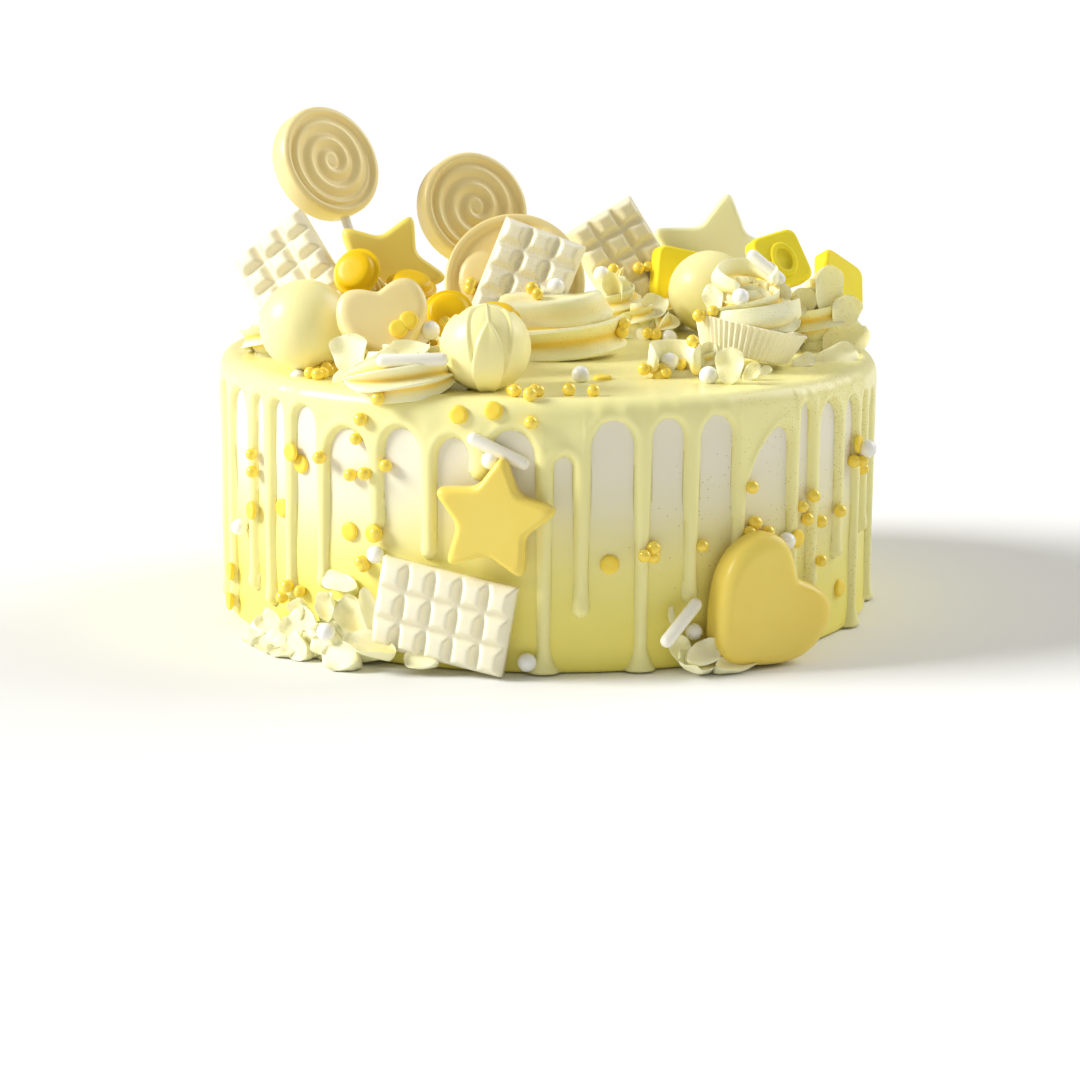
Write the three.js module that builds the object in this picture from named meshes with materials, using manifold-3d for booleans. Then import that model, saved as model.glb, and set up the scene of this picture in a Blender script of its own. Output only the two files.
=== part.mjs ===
// A tall round drip cake with sweets piled on its top and set against its side.
// Millimetres, +Z up, the front looks along -Y. The origin is the middle of the cake's base.

import * as THREE from 'three';
import { LoftGeometry } from 'three/addons/geometries/LoftGeometry.js';
import { mergeVertices } from 'three/addons/utils/BufferGeometryUtils.js';
import Module from 'manifold-3d';

const wasm = await Module();
wasm.setup();

// Driving dimensions of the cake and its glaze
const CAKE_RADIUS = 110;
const CAKE_HEIGHT = 85;
const RIM_RADIUS = 4;
const FOOT_BEVEL = 1.5;
const ROUND_SEGMENTS = 48;
const GAP = 0.3;
const GLAZE_THICKNESS = 1;
const TOP = CAKE_HEIGHT + GAP + GLAZE_THICKNESS;
const GLAZE_INSIDE = CAKE_RADIUS + GAP;
const RIM_STEPS = 2;

// The glaze hangs between the drips in arches, at -1 to 1 across each gap
const CURTAIN_EDGE_DEPTH = 1.2;
const ARCH_STEPS = [-1, -0.55, 0.55, 1];
const NARROW_STEPS = [-1, 0, 1];
const NARROW_GAP = 3.2;
const HIGHEST_ARCH = 80;

// A drip is a rounded column that ends in a bead, or in a pool where it reaches the base
const DRIP_INSIDE = GLAZE_INSIDE + 0.2;
const DRIP_HALF_WIDTH = 2.4;
const DRIP_DEPTH = 1.8;
const DRIP_FACE = DRIP_INSIDE + DRIP_DEPTH * Math.sin(Math.PI / 3);
const POOLED_BELOW = 3;
const BEAD_HALF_WIDTH = 2.9;
const BEAD_DEPTH = 2.2;
const POOL_HALF_WIDTH = 5;
const POOL_DEPTH = 4;
const POOL_HEIGHT = 9;
const BASE_CLEARANCE = 0.4;

// Flat sweets stand against the side just clear of the beads
const SIDE_BACK = DRIP_INSIDE + BEAD_DEPTH + GAP;
const SHELF = TOP + GAP;

// Sizes of the moulded sweets
const BAR = { length: 43, width: 28, base: 4.2, relief: 2.2, columns: 5, rows: 3, slope: 1.8, overlap: 0.3 };
const STAR = { radius: 19.5, notch: 0.57, thickness: 6.5, tip: 4.2, bevel: 1.2 };
const BIG_STAR = { ...STAR, radius: 26, thickness: 7.5, tip: 5 };
const SIDE_HEART = { width: 44, height: 40, thickness: 10.5, bevel: 2.6 };
const TOP_HEART = { width: 29, height: 26, thickness: 8, bevel: 1.7 };
const TILE = { side: 19, corner: 4, thickness: 6, bevel: 1 };
const LOLLY = { radius: 19.5, thickness: 9, turns: 2.4, rope: 1.7, relief: 1.3, stick: 1.6 };
const MEDALLION = { radius: 23.7, thickness: 5, rim: 2.6, recess: 1.2 };
const TRUFFLE = { radius: 13.3, petal: 1.4, petals: 5, seat: -66, crown: 78 };
const CUP = { base: 14.5, rim: 18.9, height: 10.5, wall: 1.1, floor: 1.4, flutes: 20, flute: 0.6 };
const MELT = { radius: 8.3, thickness: 4.2, lip: 1.1 };

// Sizes of the small decorations
const WHITE_PEARL = 3.4;
const GOLD_PEARL = 1.8;
const PEARL_PROUD = 0.5;
const CONFETTI = { radius: 2.6, thickness: 1.2 };
const ROD = { radius: 2.1, length: 22 };

// Drips that face the front: [turn from the front in degrees, lower end, arch on its right, slant]
const FRONT_DRIPS = [
  [-77, 4, 79], [-70.5, 3, 79], [-60, 14, 79], [-54, 11, 79], [-48, 15, 79], [-40, 21, 74],
  [-29, 43, 76], [-19.5, 35, 74], [-11, 61, 77], [-0.5, 0, 69], [5.5, 18, 79], [15.5, 0, 79],
  [24, 21, 79], [33, 7, 79, 15], [45, 21, 79], [50.5, 19, 79], [59, 26, 78], [66.5, 0, 78],
  [71.5, 30, 77], [79, 4, 78],
];

// Small decorations on the side that faces the front: [turn in degrees, height]
const SIDE_GOLD_PEARLS = [
  [-31, 78], [-33.5, 60], [-27, 64], [-45, 62],
  [-59, 59], [-28, 42], [-61, 31],
  [35.5, 44], [46.5, 47], [50, 49], [51.5, 41.5],
  [58.5, 42], [64, 62], [16, 39], [25.5, 39], [-2, 78],
];
const SIDE_CONFETTI = [
  [-49, 45], [-33.5, 42], [-57, 41], [-69.5, 16], [9.7, 35], [45, 38],
  [-15, 80.5], [-9, 80.5],
];
const SIDE_WHITE_PEARLS = [[-64.5, 32], [-3.5, 4], [42.5, 38], [67, 62]];

// Small decorations on the top: [x, y]
const TOP_WHITE_PEARLS = [[-75, -72], [10, -79], [41, 20], [50, -79]];
const TOP_GOLD_PEARLS = [
  [-68, -77], [-9.5, -101], [5, -103], [33, -83], [38, -81],
];
const TOP_CONFETTI = [[17, -75]];

// The same generator is used for all that is uneven, so that each build is alike
function seeded(seed) {
  let state = seed;
  return () => {
    state = (state * 1664525 + 1013904223) % 4294967296;
    return state / 4294967296;
  };
}

const radians = THREE.MathUtils.degToRad;
const lerp = THREE.MathUtils.lerp;

// Materials
function finish(color, roughness) {
  return new THREE.MeshStandardMaterial({ color, roughness, metalness: 0 });
}
const coat = finish(0xf2efd2, 0.55);
const glaze = finish(0xf0ecb4, 0.3);
const cream = finish(0xf6f2b8, 0.6);
const ivory = finish(0xf2e6b8, 0.4);
const paleYellow = finish(0xf0d98a, 0.35);
const white = finish(0xf6f3e4, 0.45);
const brightYellow = finish(0xf8cf1c, 0.25);
const paper = finish(0xfaf8f4, 0.8);

// A closed solid from a geometry, with its faces pointing out
function solidFrom(geometry) {
  const bare = new THREE.BufferGeometry();
  bare.setAttribute('position', geometry.attributes.position);
  bare.setIndex(geometry.index);
  const merged = mergeVertices(bare, 1e-4);
  const points = merged.attributes.position;
  const [a, b, c] = [new THREE.Vector3(), new THREE.Vector3(), new THREE.Vector3()];
  const corners = [];
  let volume = 0;
  for (let i = 0; i < merged.index.count; i += 3) {
    const face = [0, 1, 2].map((k) => merged.index.getX(i + k));
    if (new Set(face).size < 3) continue;
    a.fromBufferAttribute(points, face[0]);
    b.fromBufferAttribute(points, face[1]);
    c.fromBufferAttribute(points, face[2]);
    volume += a.dot(b.cross(c));
    corners.push(face);
  }
  if (volume < 0) corners.forEach((face) => face.reverse());
  return new wasm.Manifold(new wasm.Mesh({
    numProp: 3,
    vertProperties: new Float32Array(points.array),
    triVerts: new Uint32Array(corners.flat()),
  }));
}

function geometryFrom(solid) {
  const mesh = solid.getMesh();
  const geometry = new THREE.BufferGeometry();
  geometry.setAttribute('position', new THREE.Float32BufferAttribute(mesh.vertProperties, 3));
  geometry.setIndex([...mesh.triVerts]);
  geometry.computeVertexNormals();
  return geometry;
}

function joined(solids) {
  return solids.reduce((whole, solid) => whole.add(solid));
}

// The largest of the bodies that a cut leaves, so that no scrap stays
function largest(solid) {
  return solid.decompose().reduce((best, body) => (body.volume() > best.volume() ? body : best));
}

// Places. A flat shape faces +Z where it is made. Standing, it faces the front, and then it
// spins in its own plane, leans back and turns to the right.
function standing({ at, turn = 0, lean = 0, spin = 0 }) {
  return new THREE.Matrix4().makeTranslation(...at)
    .multiply(new THREE.Matrix4().makeRotationZ(radians(turn)))
    .multiply(new THREE.Matrix4().makeRotationX(radians(90 - lean)))
    .multiply(new THREE.Matrix4().makeRotationZ(radians(spin)));
}

// A place on the side: its turn from the front, its distance from the axis, its height and how
// far it slides to the right of where it would touch
function onSide({ turn, radius, height, lean = 0, spin = 0, slide = 0 }) {
  const at = sidePoint(turn, radius, height).addScaledVector(sidePoint(turn + 90, 1, 0), slide);
  return standing({ at: at.toArray(), turn, lean, spin });
}

// An upright shape that stands on +Z where it is made, tipped and then turned
function upright({ at, tip = 0, turn = 0, spin = 0 }) {
  return new THREE.Matrix4().makeTranslation(...at)
    .multiply(new THREE.Matrix4().makeRotationZ(radians(turn)))
    .multiply(new THREE.Matrix4().makeRotationX(radians(tip)))
    .multiply(new THREE.Matrix4().makeRotationZ(radians(spin)));
}

function moved(solid, place) {
  return solid.transform(place.elements);
}

// A turned shape, from its profile of [radius, height], round the Z axis
function turned(profile, segments) {
  const points = profile.map(([radius, height]) => new THREE.Vector2(radius, height));
  return new THREE.LatheGeometry(points, segments).rotateX(Math.PI / 2);
}

function arc(centreRadius, centreHeight, radius, from, to, steps) {
  return Array.from({ length: steps + 1 }, (_, i) => {
    const angle = radians(lerp(from, to, i / steps));
    return [centreRadius + radius * Math.cos(angle), centreHeight + radius * Math.sin(angle)];
  });
}

// A skin over sections of equal length, closed at both ends. Its faces point out when each
// section runs counterclockwise as seen from the far end, so others are run backwards.
function loft(sections) {
  const [first, second] = sections;
  const normal = new THREE.Vector3();
  const onward = new THREE.Vector3();
  first.forEach((point, i) => {
    const next = first[(i + 1) % first.length];
    normal.add(new THREE.Vector3().crossVectors(point.clone().sub(first[0]), next.clone().sub(first[0])));
    onward.add(second[i]).sub(point);
  });
  const ordered = normal.dot(onward) < 0 ? sections.map((points) => [...points].reverse()) : sections;
  return new LoftGeometry(ordered, { capStart: true, capEnd: true });
}

// A closed ring of points from a rule of the angle
function ring(count, pointAt) {
  return Array.from({ length: count }, (_, i) => pointAt((i / count) * Math.PI * 2));
}

// The plain cake under its glaze
function cakeBody() {
  return solidFrom(turned([
    [0, 0],
    [CAKE_RADIUS - FOOT_BEVEL, 0],
    [CAKE_RADIUS, FOOT_BEVEL],
    [CAKE_RADIUS, CAKE_HEIGHT - RIM_RADIUS],
    [CAKE_RADIUS - RIM_RADIUS, CAKE_HEIGHT],
    [0, CAKE_HEIGHT],
  ], ROUND_SEGMENTS));
}

// All drips in the order of their turn: the front ones as given, the rest by a seeded rule
function allDrips() {
  const front = FRONT_DRIPS.map(([turn, foot, arch, slant = 0]) => ({ turn, foot, arch, slant }));
  const random = seeded(11);
  const back = [];
  const last = 360 + front[0].turn;
  let turn = front[front.length - 1].turn + 9;
  while (turn < last - 6) {
    const reachesBase = random() < 0.25;
    const foot = reachesBase ? 0 : lerp(8, 50, random());
    back.push({ turn, foot, arch: lerp(71, 79, random()), slant: 0 });
    turn += lerp(9, 14, random());
  }
  return [...front, ...back];
}
const drips = allDrips();

// A point of the side, from its turn in degrees, its distance from the axis and its height
function sidePoint(turn, radius, height) {
  const angle = radians(turn);
  return new THREE.Vector3(radius * Math.sin(angle), -radius * Math.cos(angle), height);
}

// The lower edge of the curtain in the gap right of a drip, at -1 to 1 across that gap
function archHeight(drip, halfGap, across) {
  const crown = Math.min(drip.arch, HIGHEST_ARCH);
  const round = 1 - Math.sqrt(Math.max(0, 1 - across * across));
  return crown - halfGap * 1.15 * round - drip.slant * (1 - across) / 2;
}

// The gap right of a drip: its middle and half its width, in degrees, and that half in mm
function gapAfter(i) {
  const drip = drips[i];
  const next = drips[(i + 1) % drips.length];
  const span = (next.turn - drip.turn + 360) % 360;
  const column = THREE.MathUtils.radToDeg(DRIP_HALF_WIDTH / CAKE_RADIUS);
  const halfTurn = Math.max(span / 2 - column, 0.5);
  return { drip, middle: drip.turn + span / 2, halfTurn, halfGap: radians(halfTurn) * CAKE_RADIUS };
}

// The sheet of glaze over the top, round the rim and down to the arches, as slices round the axis
function glazeSheet() {
  const rimCentre = CAKE_RADIUS - RIM_RADIUS;
  const rimHeight = CAKE_HEIGHT - RIM_RADIUS;
  const outside = RIM_RADIUS + GAP + GLAZE_THICKNESS;
  const sections = [];
  drips.forEach((_, i) => {
    const { drip, middle, halfTurn, halfGap } = gapAfter(i);
    for (const across of halfGap < NARROW_GAP ? NARROW_STEPS : ARCH_STEPS) {
      const edge = archHeight(drip, halfGap, across);
      sections.push([
        [0, CAKE_HEIGHT + GAP],
        [rimCentre, CAKE_HEIGHT + GAP],
        [GLAZE_INSIDE, rimHeight],
        [GLAZE_INSIDE, edge],
        [GLAZE_INSIDE + CURTAIN_EDGE_DEPTH, edge + 0.4],
        ...arc(rimCentre, rimHeight, outside, 0, 90, RIM_STEPS),
        [0, TOP],
      ].map(([radius, height]) => sidePoint(middle + across * halfTurn, radius, height)));
    }
  });
  sections.push(sections[0]);
  return solidFrom(new LoftGeometry(sections));
}

// One drip's column, from inside the sheet's edge down. Grown, it keeps other pieces clear.
function dripColumn(i, grown = 0) {
  const { turn, foot, arch } = drips[i];
  const out = sidePoint(turn, 1, 0);
  const along = sidePoint(turn + 90, 1, 0);
  const section = (height, halfWidth, depth) => [0, 60, 120, 180].map((degrees) => {
    const width = (halfWidth + grown) * Math.cos(radians(degrees));
    const away = DRIP_INSIDE - grown + (depth + 2 * grown) * Math.sin(radians(degrees));
    const point = out.clone().multiplyScalar(away).addScaledVector(along, width);
    return point.setZ(height);
  });
  const left = gapAfter((i + drips.length - 1) % drips.length);
  const right = gapAfter(i);
  const edge = Math.max(archHeight(left.drip, left.halfGap, 1), archHeight(right.drip, right.halfGap, -1));
  const root = [
    section(edge + 1.2, DRIP_HALF_WIDTH, 0.7),
    section(edge - 2.5, DRIP_HALF_WIDTH, DRIP_DEPTH),
  ];
  const end = foot < POOLED_BELOW
    ? [
      section(BASE_CLEARANCE + POOL_HEIGHT, DRIP_HALF_WIDTH, DRIP_DEPTH),
      section(BASE_CLEARANCE, POOL_HALF_WIDTH, POOL_DEPTH),
    ]
    : [
      section(foot + 3, BEAD_HALF_WIDTH, BEAD_DEPTH),
      section(foot, BEAD_HALF_WIDTH * 0.5, BEAD_DEPTH * 0.5),
    ];
  return solidFrom(loft([...root, ...end].reverse()));
}

// Moulded sweets

// An outline whose corners are cut back and rounded: corners are [x, y, cut], a cut of 0 is sharp
function roundedOutline(corners) {
  const shape = new THREE.Shape();
  corners.forEach(([x, y, cut], i) => {
    if (cut === 0) {
      shape.lineTo(x, y);
      return;
    }
    const corner = new THREE.Vector2(x, y);
    const before = new THREE.Vector2(...corners.at(i - 1));
    const after = new THREE.Vector2(...corners[(i + 1) % corners.length]);
    const start = before.sub(corner).setLength(cut).add(corner);
    const end = after.sub(corner).setLength(cut).add(corner);
    if (i === 0) shape.moveTo(start.x, start.y);
    else shape.lineTo(start.x, start.y);
    shape.quadraticCurveTo(x, y, end.x, end.y);
  });
  shape.closePath();
  return shape;
}

function moulded(shape, thickness, bevel, bevelSegments, curveSegments) {
  return new THREE.ExtrudeGeometry(shape, {
    depth: thickness - 2 * bevel,
    bevelThickness: bevel,
    bevelSize: bevel,
    bevelOffset: -bevel,
    bevelSegments,
    curveSegments,
  }).translate(0, 0, bevel - thickness / 2);
}

function star({ radius, notch, thickness, tip, bevel }) {
  const corners = Array.from({ length: 10 }, (_, i) => {
    const angle = radians(90 + 36 * i);
    const reach = i % 2 ? radius * notch : radius + 0.35 * tip;
    return [reach * Math.cos(angle), reach * Math.sin(angle), i % 2 ? 0 : tip];
  });
  return solidFrom(moulded(roundedOutline(corners), thickness, bevel, 1, 2));
}

function heart({ width, height, thickness, bevel }) {
  const w = width / 2;
  const h = height / 2;
  const shape = new THREE.Shape();
  shape.moveTo(0, 0.5 * h);
  shape.bezierCurveTo(0.12 * w, 0.98 * h, 0.5 * w, h, 0.6 * w, h);
  shape.bezierCurveTo(0.9 * w, h, w, 0.65 * h, w, 0.32 * h);
  shape.bezierCurveTo(w, -0.2 * h, 0.5 * w, -0.62 * h, 0.26 * w, -0.87 * h);
  shape.quadraticCurveTo(0, -1.12 * h, -0.26 * w, -0.87 * h);
  shape.bezierCurveTo(-0.5 * w, -0.62 * h, -w, -0.2 * h, -w, 0.32 * h);
  shape.bezierCurveTo(-w, 0.65 * h, -0.9 * w, h, -0.6 * w, h);
  shape.bezierCurveTo(-0.5 * w, h, -0.12 * w, 0.98 * h, 0, 0.5 * h);
  return solidFrom(moulded(shape, thickness, bevel, 1, 3));
}

// A bar of small square pillows on a flat base, its long side along X. The pillows' sloping
// sides meet in grooves.
function bar() {
  const { length, width, base, relief, columns, rows, slope, overlap } = BAR;
  const pitchX = length / columns;
  const pitchY = width / rows;
  const foot = pitchX / 2 + overlap;
  const sink = relief * overlap / slope;
  const pillow = new THREE.CylinderGeometry(
    (foot - slope) * Math.SQRT2, foot * Math.SQRT2, relief + sink, 4, 1, false, Math.PI / 4,
  ).rotateX(Math.PI / 2).scale(1, pitchY / pitchX, 1);
  const margin = 2 * overlap + 0.4;
  const solids = [solidFrom(new THREE.BoxGeometry(length + margin, width + margin, base))];
  for (let column = 0; column < columns; column += 1) {
    for (let row = 0; row < rows; row += 1) {
      const x = (column - (columns - 1) / 2) * pitchX;
      const y = (row - (rows - 1) / 2) * pitchY;
      const z = (base + relief - sink) / 2;
      solids.push(solidFrom(pillow.clone().translate(x, y, z)));
    }
  }
  return joined(solids);
}

// A square tile with rounded corners. One of them carries a raised ring.
function tile(ringed) {
  const half = TILE.side / 2;
  const corners = [[half, half], [-half, half], [-half, -half], [half, -half]];
  const outline = roundedOutline(corners.map(([x, y]) => [x, y, TILE.corner]));
  const plain = solidFrom(moulded(outline, TILE.thickness, TILE.bevel, 1, 2));
  if (!ringed) return plain;
  const raised = new THREE.TorusGeometry(4, 0.8, 4, 12).translate(0, 0, TILE.thickness / 2);
  return plain.add(solidFrom(raised));
}

// A lollipop's disc with a raised rope wound in a spiral on its face
function lollyDisc() {
  const { radius, thickness, turns, rope, relief } = LOLLY;
  const half = thickness / 2;
  const face = half - relief;
  const disc = solidFrom(turned([
    [0, -half], [radius - 1.6, -half], [radius, 1.6 - half], [radius, half - 1.6],
    [radius - 2, half], [radius - 3.8, face], [0, face],
  ], 16));
  const stepsPerTurn = 6;
  const steps = Math.round(turns * stepsPerTurn);
  const inner = 1.2;
  const outer = radius - 6.4;
  const sections = Array.from({ length: steps + 1 }, (_, i) => {
    const angle = (i / stepsPerTurn) * Math.PI * 2;
    const reach = lerp(inner, outer, i / steps);
    return [[-rope, -0.5], [rope, -0.5], [0, relief]].map(([across, height]) => new THREE.Vector3(
      (reach + across) * Math.cos(angle), (reach + across) * Math.sin(angle), face + height,
    ));
  });
  return disc.add(solidFrom(loft(sections)));
}

// A round medallion with a raised rim and three domed lobes
function medallion() {
  const { radius, thickness, rim, recess } = MEDALLION;
  const half = thickness / 2;
  const floor = half - recess;
  const disc = solidFrom(turned([
    [0, -half], [radius, -half], [radius, half - 1],
    [radius - 1.2, half], [radius - rim, half], [radius - rim - 0.9, floor], [0, floor],
  ], 16));
  const dome = [[0, -0.3], [1, 0], [0.75, 0.66], [0, 1]];
  const lobe = (x, y, wide, tall, high) => solidFrom(
    turned(dome, 10).scale(wide, tall, high).translate(x, y, floor - 0.2),
  );
  return joined([
    disc,
    lobe(-11, 1, 8, 9.5, 2.6),
    lobe(6.5, 9.5, 11.5, 9, 3),
    lobe(4.5, -9.5, 10, 9, 2.6),
  ]);
}

// A round sweet with a thin lip and a low dome
function melt() {
  const { radius, thickness, lip } = MELT;
  return solidFrom(turned([
    [0, 0], [radius, 0], [radius, lip], [radius - 1.4, 1.4 * lip],
    [0.7 * radius, 0.9 * thickness], [0, thickness],
  ], 12));
}

// A ball wrapped in pointed petals that stand proud of its skin and narrow towards its top
function truffle() {
  const { radius, petal, petals, seat, crown } = TRUFFLE;
  const rows = 6;
  const share = 360 / petals;
  const sections = Array.from({ length: rows }, (_, row) => {
    const rise = row / (rows - 1);
    const latitude = radians(lerp(seat, crown, rise));
    const halfWidth = 0.46 * share * Math.sqrt(Math.max(0.02, 1 - rise ** 1.8));
    const points = [];
    for (let i = 0; i < petals; i += 1) {
      const middle = share * i;
      const proud = petal * (i % 2 ? 0.65 : 1) * Math.min(1, 6 * (1 - rise));
      const edges = [[-halfWidth - 3, 0], [-halfWidth, proud], [halfWidth, proud], [halfWidth + 3, 0]];
      for (const [turn, height] of edges) {
        const point = sidePoint(middle + turn, (radius + height) * Math.cos(latitude), 0);
        points.push(point.setZ((radius + height) * Math.sin(latitude)));
      }
    }
    return points;
  });
  return solidFrom(loft(sections));
}

// The space inside the cup between two heights, larger by a margin
function cupInside(from, to, margin = 0, columns = CUP.flutes) {
  const { base, rim, height, wall, flute } = CUP;
  const slope = (rim - base) / height;
  return solidFrom(loft([from, to].map((z) => ring(columns, (angle) => {
    const reach = base - wall - flute + slope * z + margin;
    return new THREE.Vector3(reach * Math.cos(angle), reach * Math.sin(angle), z);
  }))));
}

// A fluted cup, open at its top
function cup() {
  const { base, rim, height, floor, flutes, flute } = CUP;
  const section = (radius, z, wave) => ring(flutes * 2, (angle) => {
    const reach = radius + wave * Math.cos(angle * flutes);
    return new THREE.Vector3(reach * Math.cos(angle), reach * Math.sin(angle), z);
  });
  const outer = solidFrom(loft([section(base, 0, flute), section(rim, height, flute)]));
  return outer.subtract(cupInside(floor, height + 1));
}

// Cream

// A piped rosette: a rope of ridged cream that winds up to a peak
function rosette({
  radius, height, turns, columns, ridges = 5, depth = 0.1, rows = 6, twist = 1.2, wide = 1,
}) {
  const sections = Array.from({ length: rows }, (_, row) => {
    const rise = row / (rows - 1);
    const reach = radius * (1 - 0.93 * rise ** 1.35);
    return ring(columns, (angle) => {
      const winding = Math.cos(2 * Math.PI * turns * rise - angle);
      const ridge = Math.cos(ridges * (angle + twist * rise));
      const away = reach * (1 + 0.1 * winding + depth * ridge);
      return new THREE.Vector3(wide * away * Math.cos(angle), away * Math.sin(angle), height * rise);
    });
  });
  return solidFrom(loft(sections));
}

// A smooth dome of cream
function mound({ radius, height, wide, columns = 12, rows = 4 }) {
  const profile = arc(0, 0, 1, 0, 90, rows).map(([across, high]) => [radius * across ** 0.8, height * high]);
  return solidFrom(turned([[0, 0], ...profile], columns).scale(wide, 1, 1));
}

// A swirl with low heaps of cream beside it, which carry the sweets that lie there. A heap's place
// is [x, y] on the cake, as the swirl's is.
function heaped(swirl, { x, y, turn }, heaps) {
  const turnedBack = new THREE.Matrix4().makeRotationZ(radians(-turn));
  return joined([swirl, ...heaps.map(({ at, ...size }) => {
    const place = new THREE.Vector3(at[0] - x, at[1] - y, 0).applyMatrix4(turnedBack);
    return mound({ wide: 1, columns: 8, rows: 3, ...size }).translate(place.toArray());
  })]);
}

// A flat curl of cream, laid as a tapering ribbon along an arc, with a ruffled outer edge
function ribbon({ reach, width, thick, from, to, rise, ruffle = 0.6, steps = 5 }) {
  const sections = Array.from({ length: steps + 1 }, (_, i) => {
    const part = i / steps;
    const angle = radians(lerp(from, to, part));
    const taper = 0.35 + 0.65 * Math.sin(Math.PI * Math.min(1, 0.12 + part * 0.88)) ** 0.6;
    const wave = ruffle * (i % 2 ? 1 : -1);
    const point = (radius, height) => new THREE.Vector3(
      radius * Math.cos(angle), radius * Math.sin(angle), rise * part + height,
    );
    const outer = reach + wave;
    return [
      point(reach - width * taper, 0), point(outer, -0.2 * thick),
      point(outer, 0.35 * thick), point(reach - width * taper, thick * taper),
    ];
  });
  return solidFrom(loft(sections));
}

// A petal or shell of cream, from its thick root along +Y to its thin tip
function petal({ length, width, thick, curl = 0.25 }) {
  const outline = [[0, 0.45, 0.5], [0.28, 1, 1], [0.72, 0.85, 0.6], [1, 0.2, 0.2]];
  const sections = outline.map(([along, wide, high]) => ring(5, (angle) => new THREE.Vector3(
    0.5 * width * wide * Math.cos(angle),
    length * (along - 0.5),
    0.5 * thick * high * Math.sin(angle) + curl * length * along * along,
  )));
  return solidFrom(loft(sections));
}

// Small decorations. The smallest pearls have the fewest faces.
function pearl(radius) {
  const Faceted = radius > GOLD_PEARL ? THREE.IcosahedronGeometry : THREE.OctahedronGeometry;
  return solidFrom(new Faceted(radius, 0));
}

function confetti() {
  const { radius, thickness } = CONFETTI;
  return solidFrom(new THREE.CylinderGeometry(radius, radius, thickness, 8).rotateX(Math.PI / 2));
}

function rod(length = ROD.length) {
  const straight = length - 2 * ROD.radius;
  return solidFrom(new THREE.CapsuleGeometry(ROD.radius, straight, 1, 6).rotateZ(Math.PI / 2));
}

// Assembly

const cake = new THREE.Group();
cake.name = 'drip_cake';

// What is placed already, grown by the gap, so that softer pieces are cut clear of it
const keepClear = [];
const belowShelf = solidFrom(new THREE.BoxGeometry(400, 400, 100).translate(0, 0, SHELF - 50));
const belowBoard = solidFrom(new THREE.BoxGeometry(400, 400, 100).translate(0, 0, -50));

function grownBy(solid, gap) {
  const { min, max } = solid.boundingBox();
  const size = max.map((high, i) => high - min[i]);
  const middle = max.map((high, i) => (high + min[i]) / 2);
  return solid.translate(middle.map((value) => -value))
    .scale(size.map((value) => (value + 2 * gap) / value))
    .translate(middle);
}

function clearOf(solid, others) {
  return others.reduce((rest, other) => rest.subtract(other), solid);
}

function touches(solid) {
  return keepClear.some((other) => !solid.intersect(other).isEmpty());
}

// Adds a piece whose shape is made in its own frame and put in its place. What is below the
// surface that carries it, or in the way of a piece already there, is cut off.
function addPiece(name, material, shape, place, { below = [belowShelf], grow = 2 * GAP, body } = {}) {
  const whole = clearOf(moved(shape, place), [...below, ...keepClear]);
  const solid = largest(whole);
  keepClear.push(moved(grownBy(body ?? shape, grow), place));
  addMesh(name, material, solid, place);
  return solid;
}

function addMesh(name, material, solid, place = new THREE.Matrix4()) {
  const geometry = geometryFrom(solid).applyMatrix4(place.clone().invert());
  const mesh = new THREE.Mesh(geometry, material);
  mesh.name = name;
  place.decompose(mesh.position, mesh.quaternion, mesh.scale);
  cake.add(mesh);
}

// Plain bodies round the moulded sweets, which keep softer pieces clear of them
const bodyOf = (geometry) => ({ body: solidFrom(geometry) });
const BAR_BODY = bodyOf(new THREE.BoxGeometry(BAR.length + 1, BAR.width + 1, BAR.base + 2 * BAR.relief));
const LOLLY_BODY = bodyOf(turned([
  [0, -LOLLY.thickness / 2], [LOLLY.radius, -LOLLY.thickness / 2],
  [LOLLY.radius, LOLLY.thickness / 2], [0, LOLLY.thickness / 2],
], 18));
const MEDALLION_BODY = bodyOf(turned([
  [0, -MEDALLION.thickness / 2], [MEDALLION.radius, -MEDALLION.thickness / 2],
  [MEDALLION.radius, MEDALLION.thickness / 2], [0, MEDALLION.thickness / 2 + 1.5],
], 20));
const MELT_BODY = bodyOf(turned([
  [0, 0], [1.08 * MELT.radius, 0], [1.08 * MELT.radius, MELT.lip], [0.76 * MELT.radius, MELT.thickness],
  [0, MELT.thickness],
], 8));
const TRUFFLE_BODY = bodyOf(new THREE.IcosahedronGeometry(TRUFFLE.radius + TRUFFLE.petal, 1));

// Sweets against the side
const sideFace = (thickness) => SIDE_BACK + thickness / 2;
const onBoard = { below: [belowBoard] };
addPiece('side_star', paleYellow, star(STAR),
  onSide({ turn: -8.2, radius: sideFace(STAR.thickness), height: 50, spin: -8.5 }), onBoard);
addPiece('side_bar', white, bar(),
  onSide({ turn: -16.2, radius: sideFace(BAR.base), height: 18.4, spin: -9.7 }), { ...onBoard, ...BAR_BODY });
addPiece('side_heart', paleYellow, heart(SIDE_HEART),
  onSide({ turn: 29, radius: sideFace(SIDE_HEART.thickness), height: 17.5, spin: -50, slide: 11 }), onBoard);

// Sweets on the top, the firm ones first
const ball = (radius) => solidFrom(new THREE.IcosahedronGeometry(radius, 2));
const ballAt = (x, y, radius) => upright({ at: [x, y, SHELF + radius - 0.3] });
addPiece('ball_left', paleYellow, ball(14.9), ballAt(-78, -57, 14.9));
addPiece('ball_right', paleYellow, ball(14.5), ballAt(57, 38, 14.5));
const trufflePlace = ballAt(-19.5, -90, TRUFFLE.radius);
addPiece('petal_truffle', paleYellow, truffle(), trufflePlace, TRUFFLE_BODY);

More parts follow.
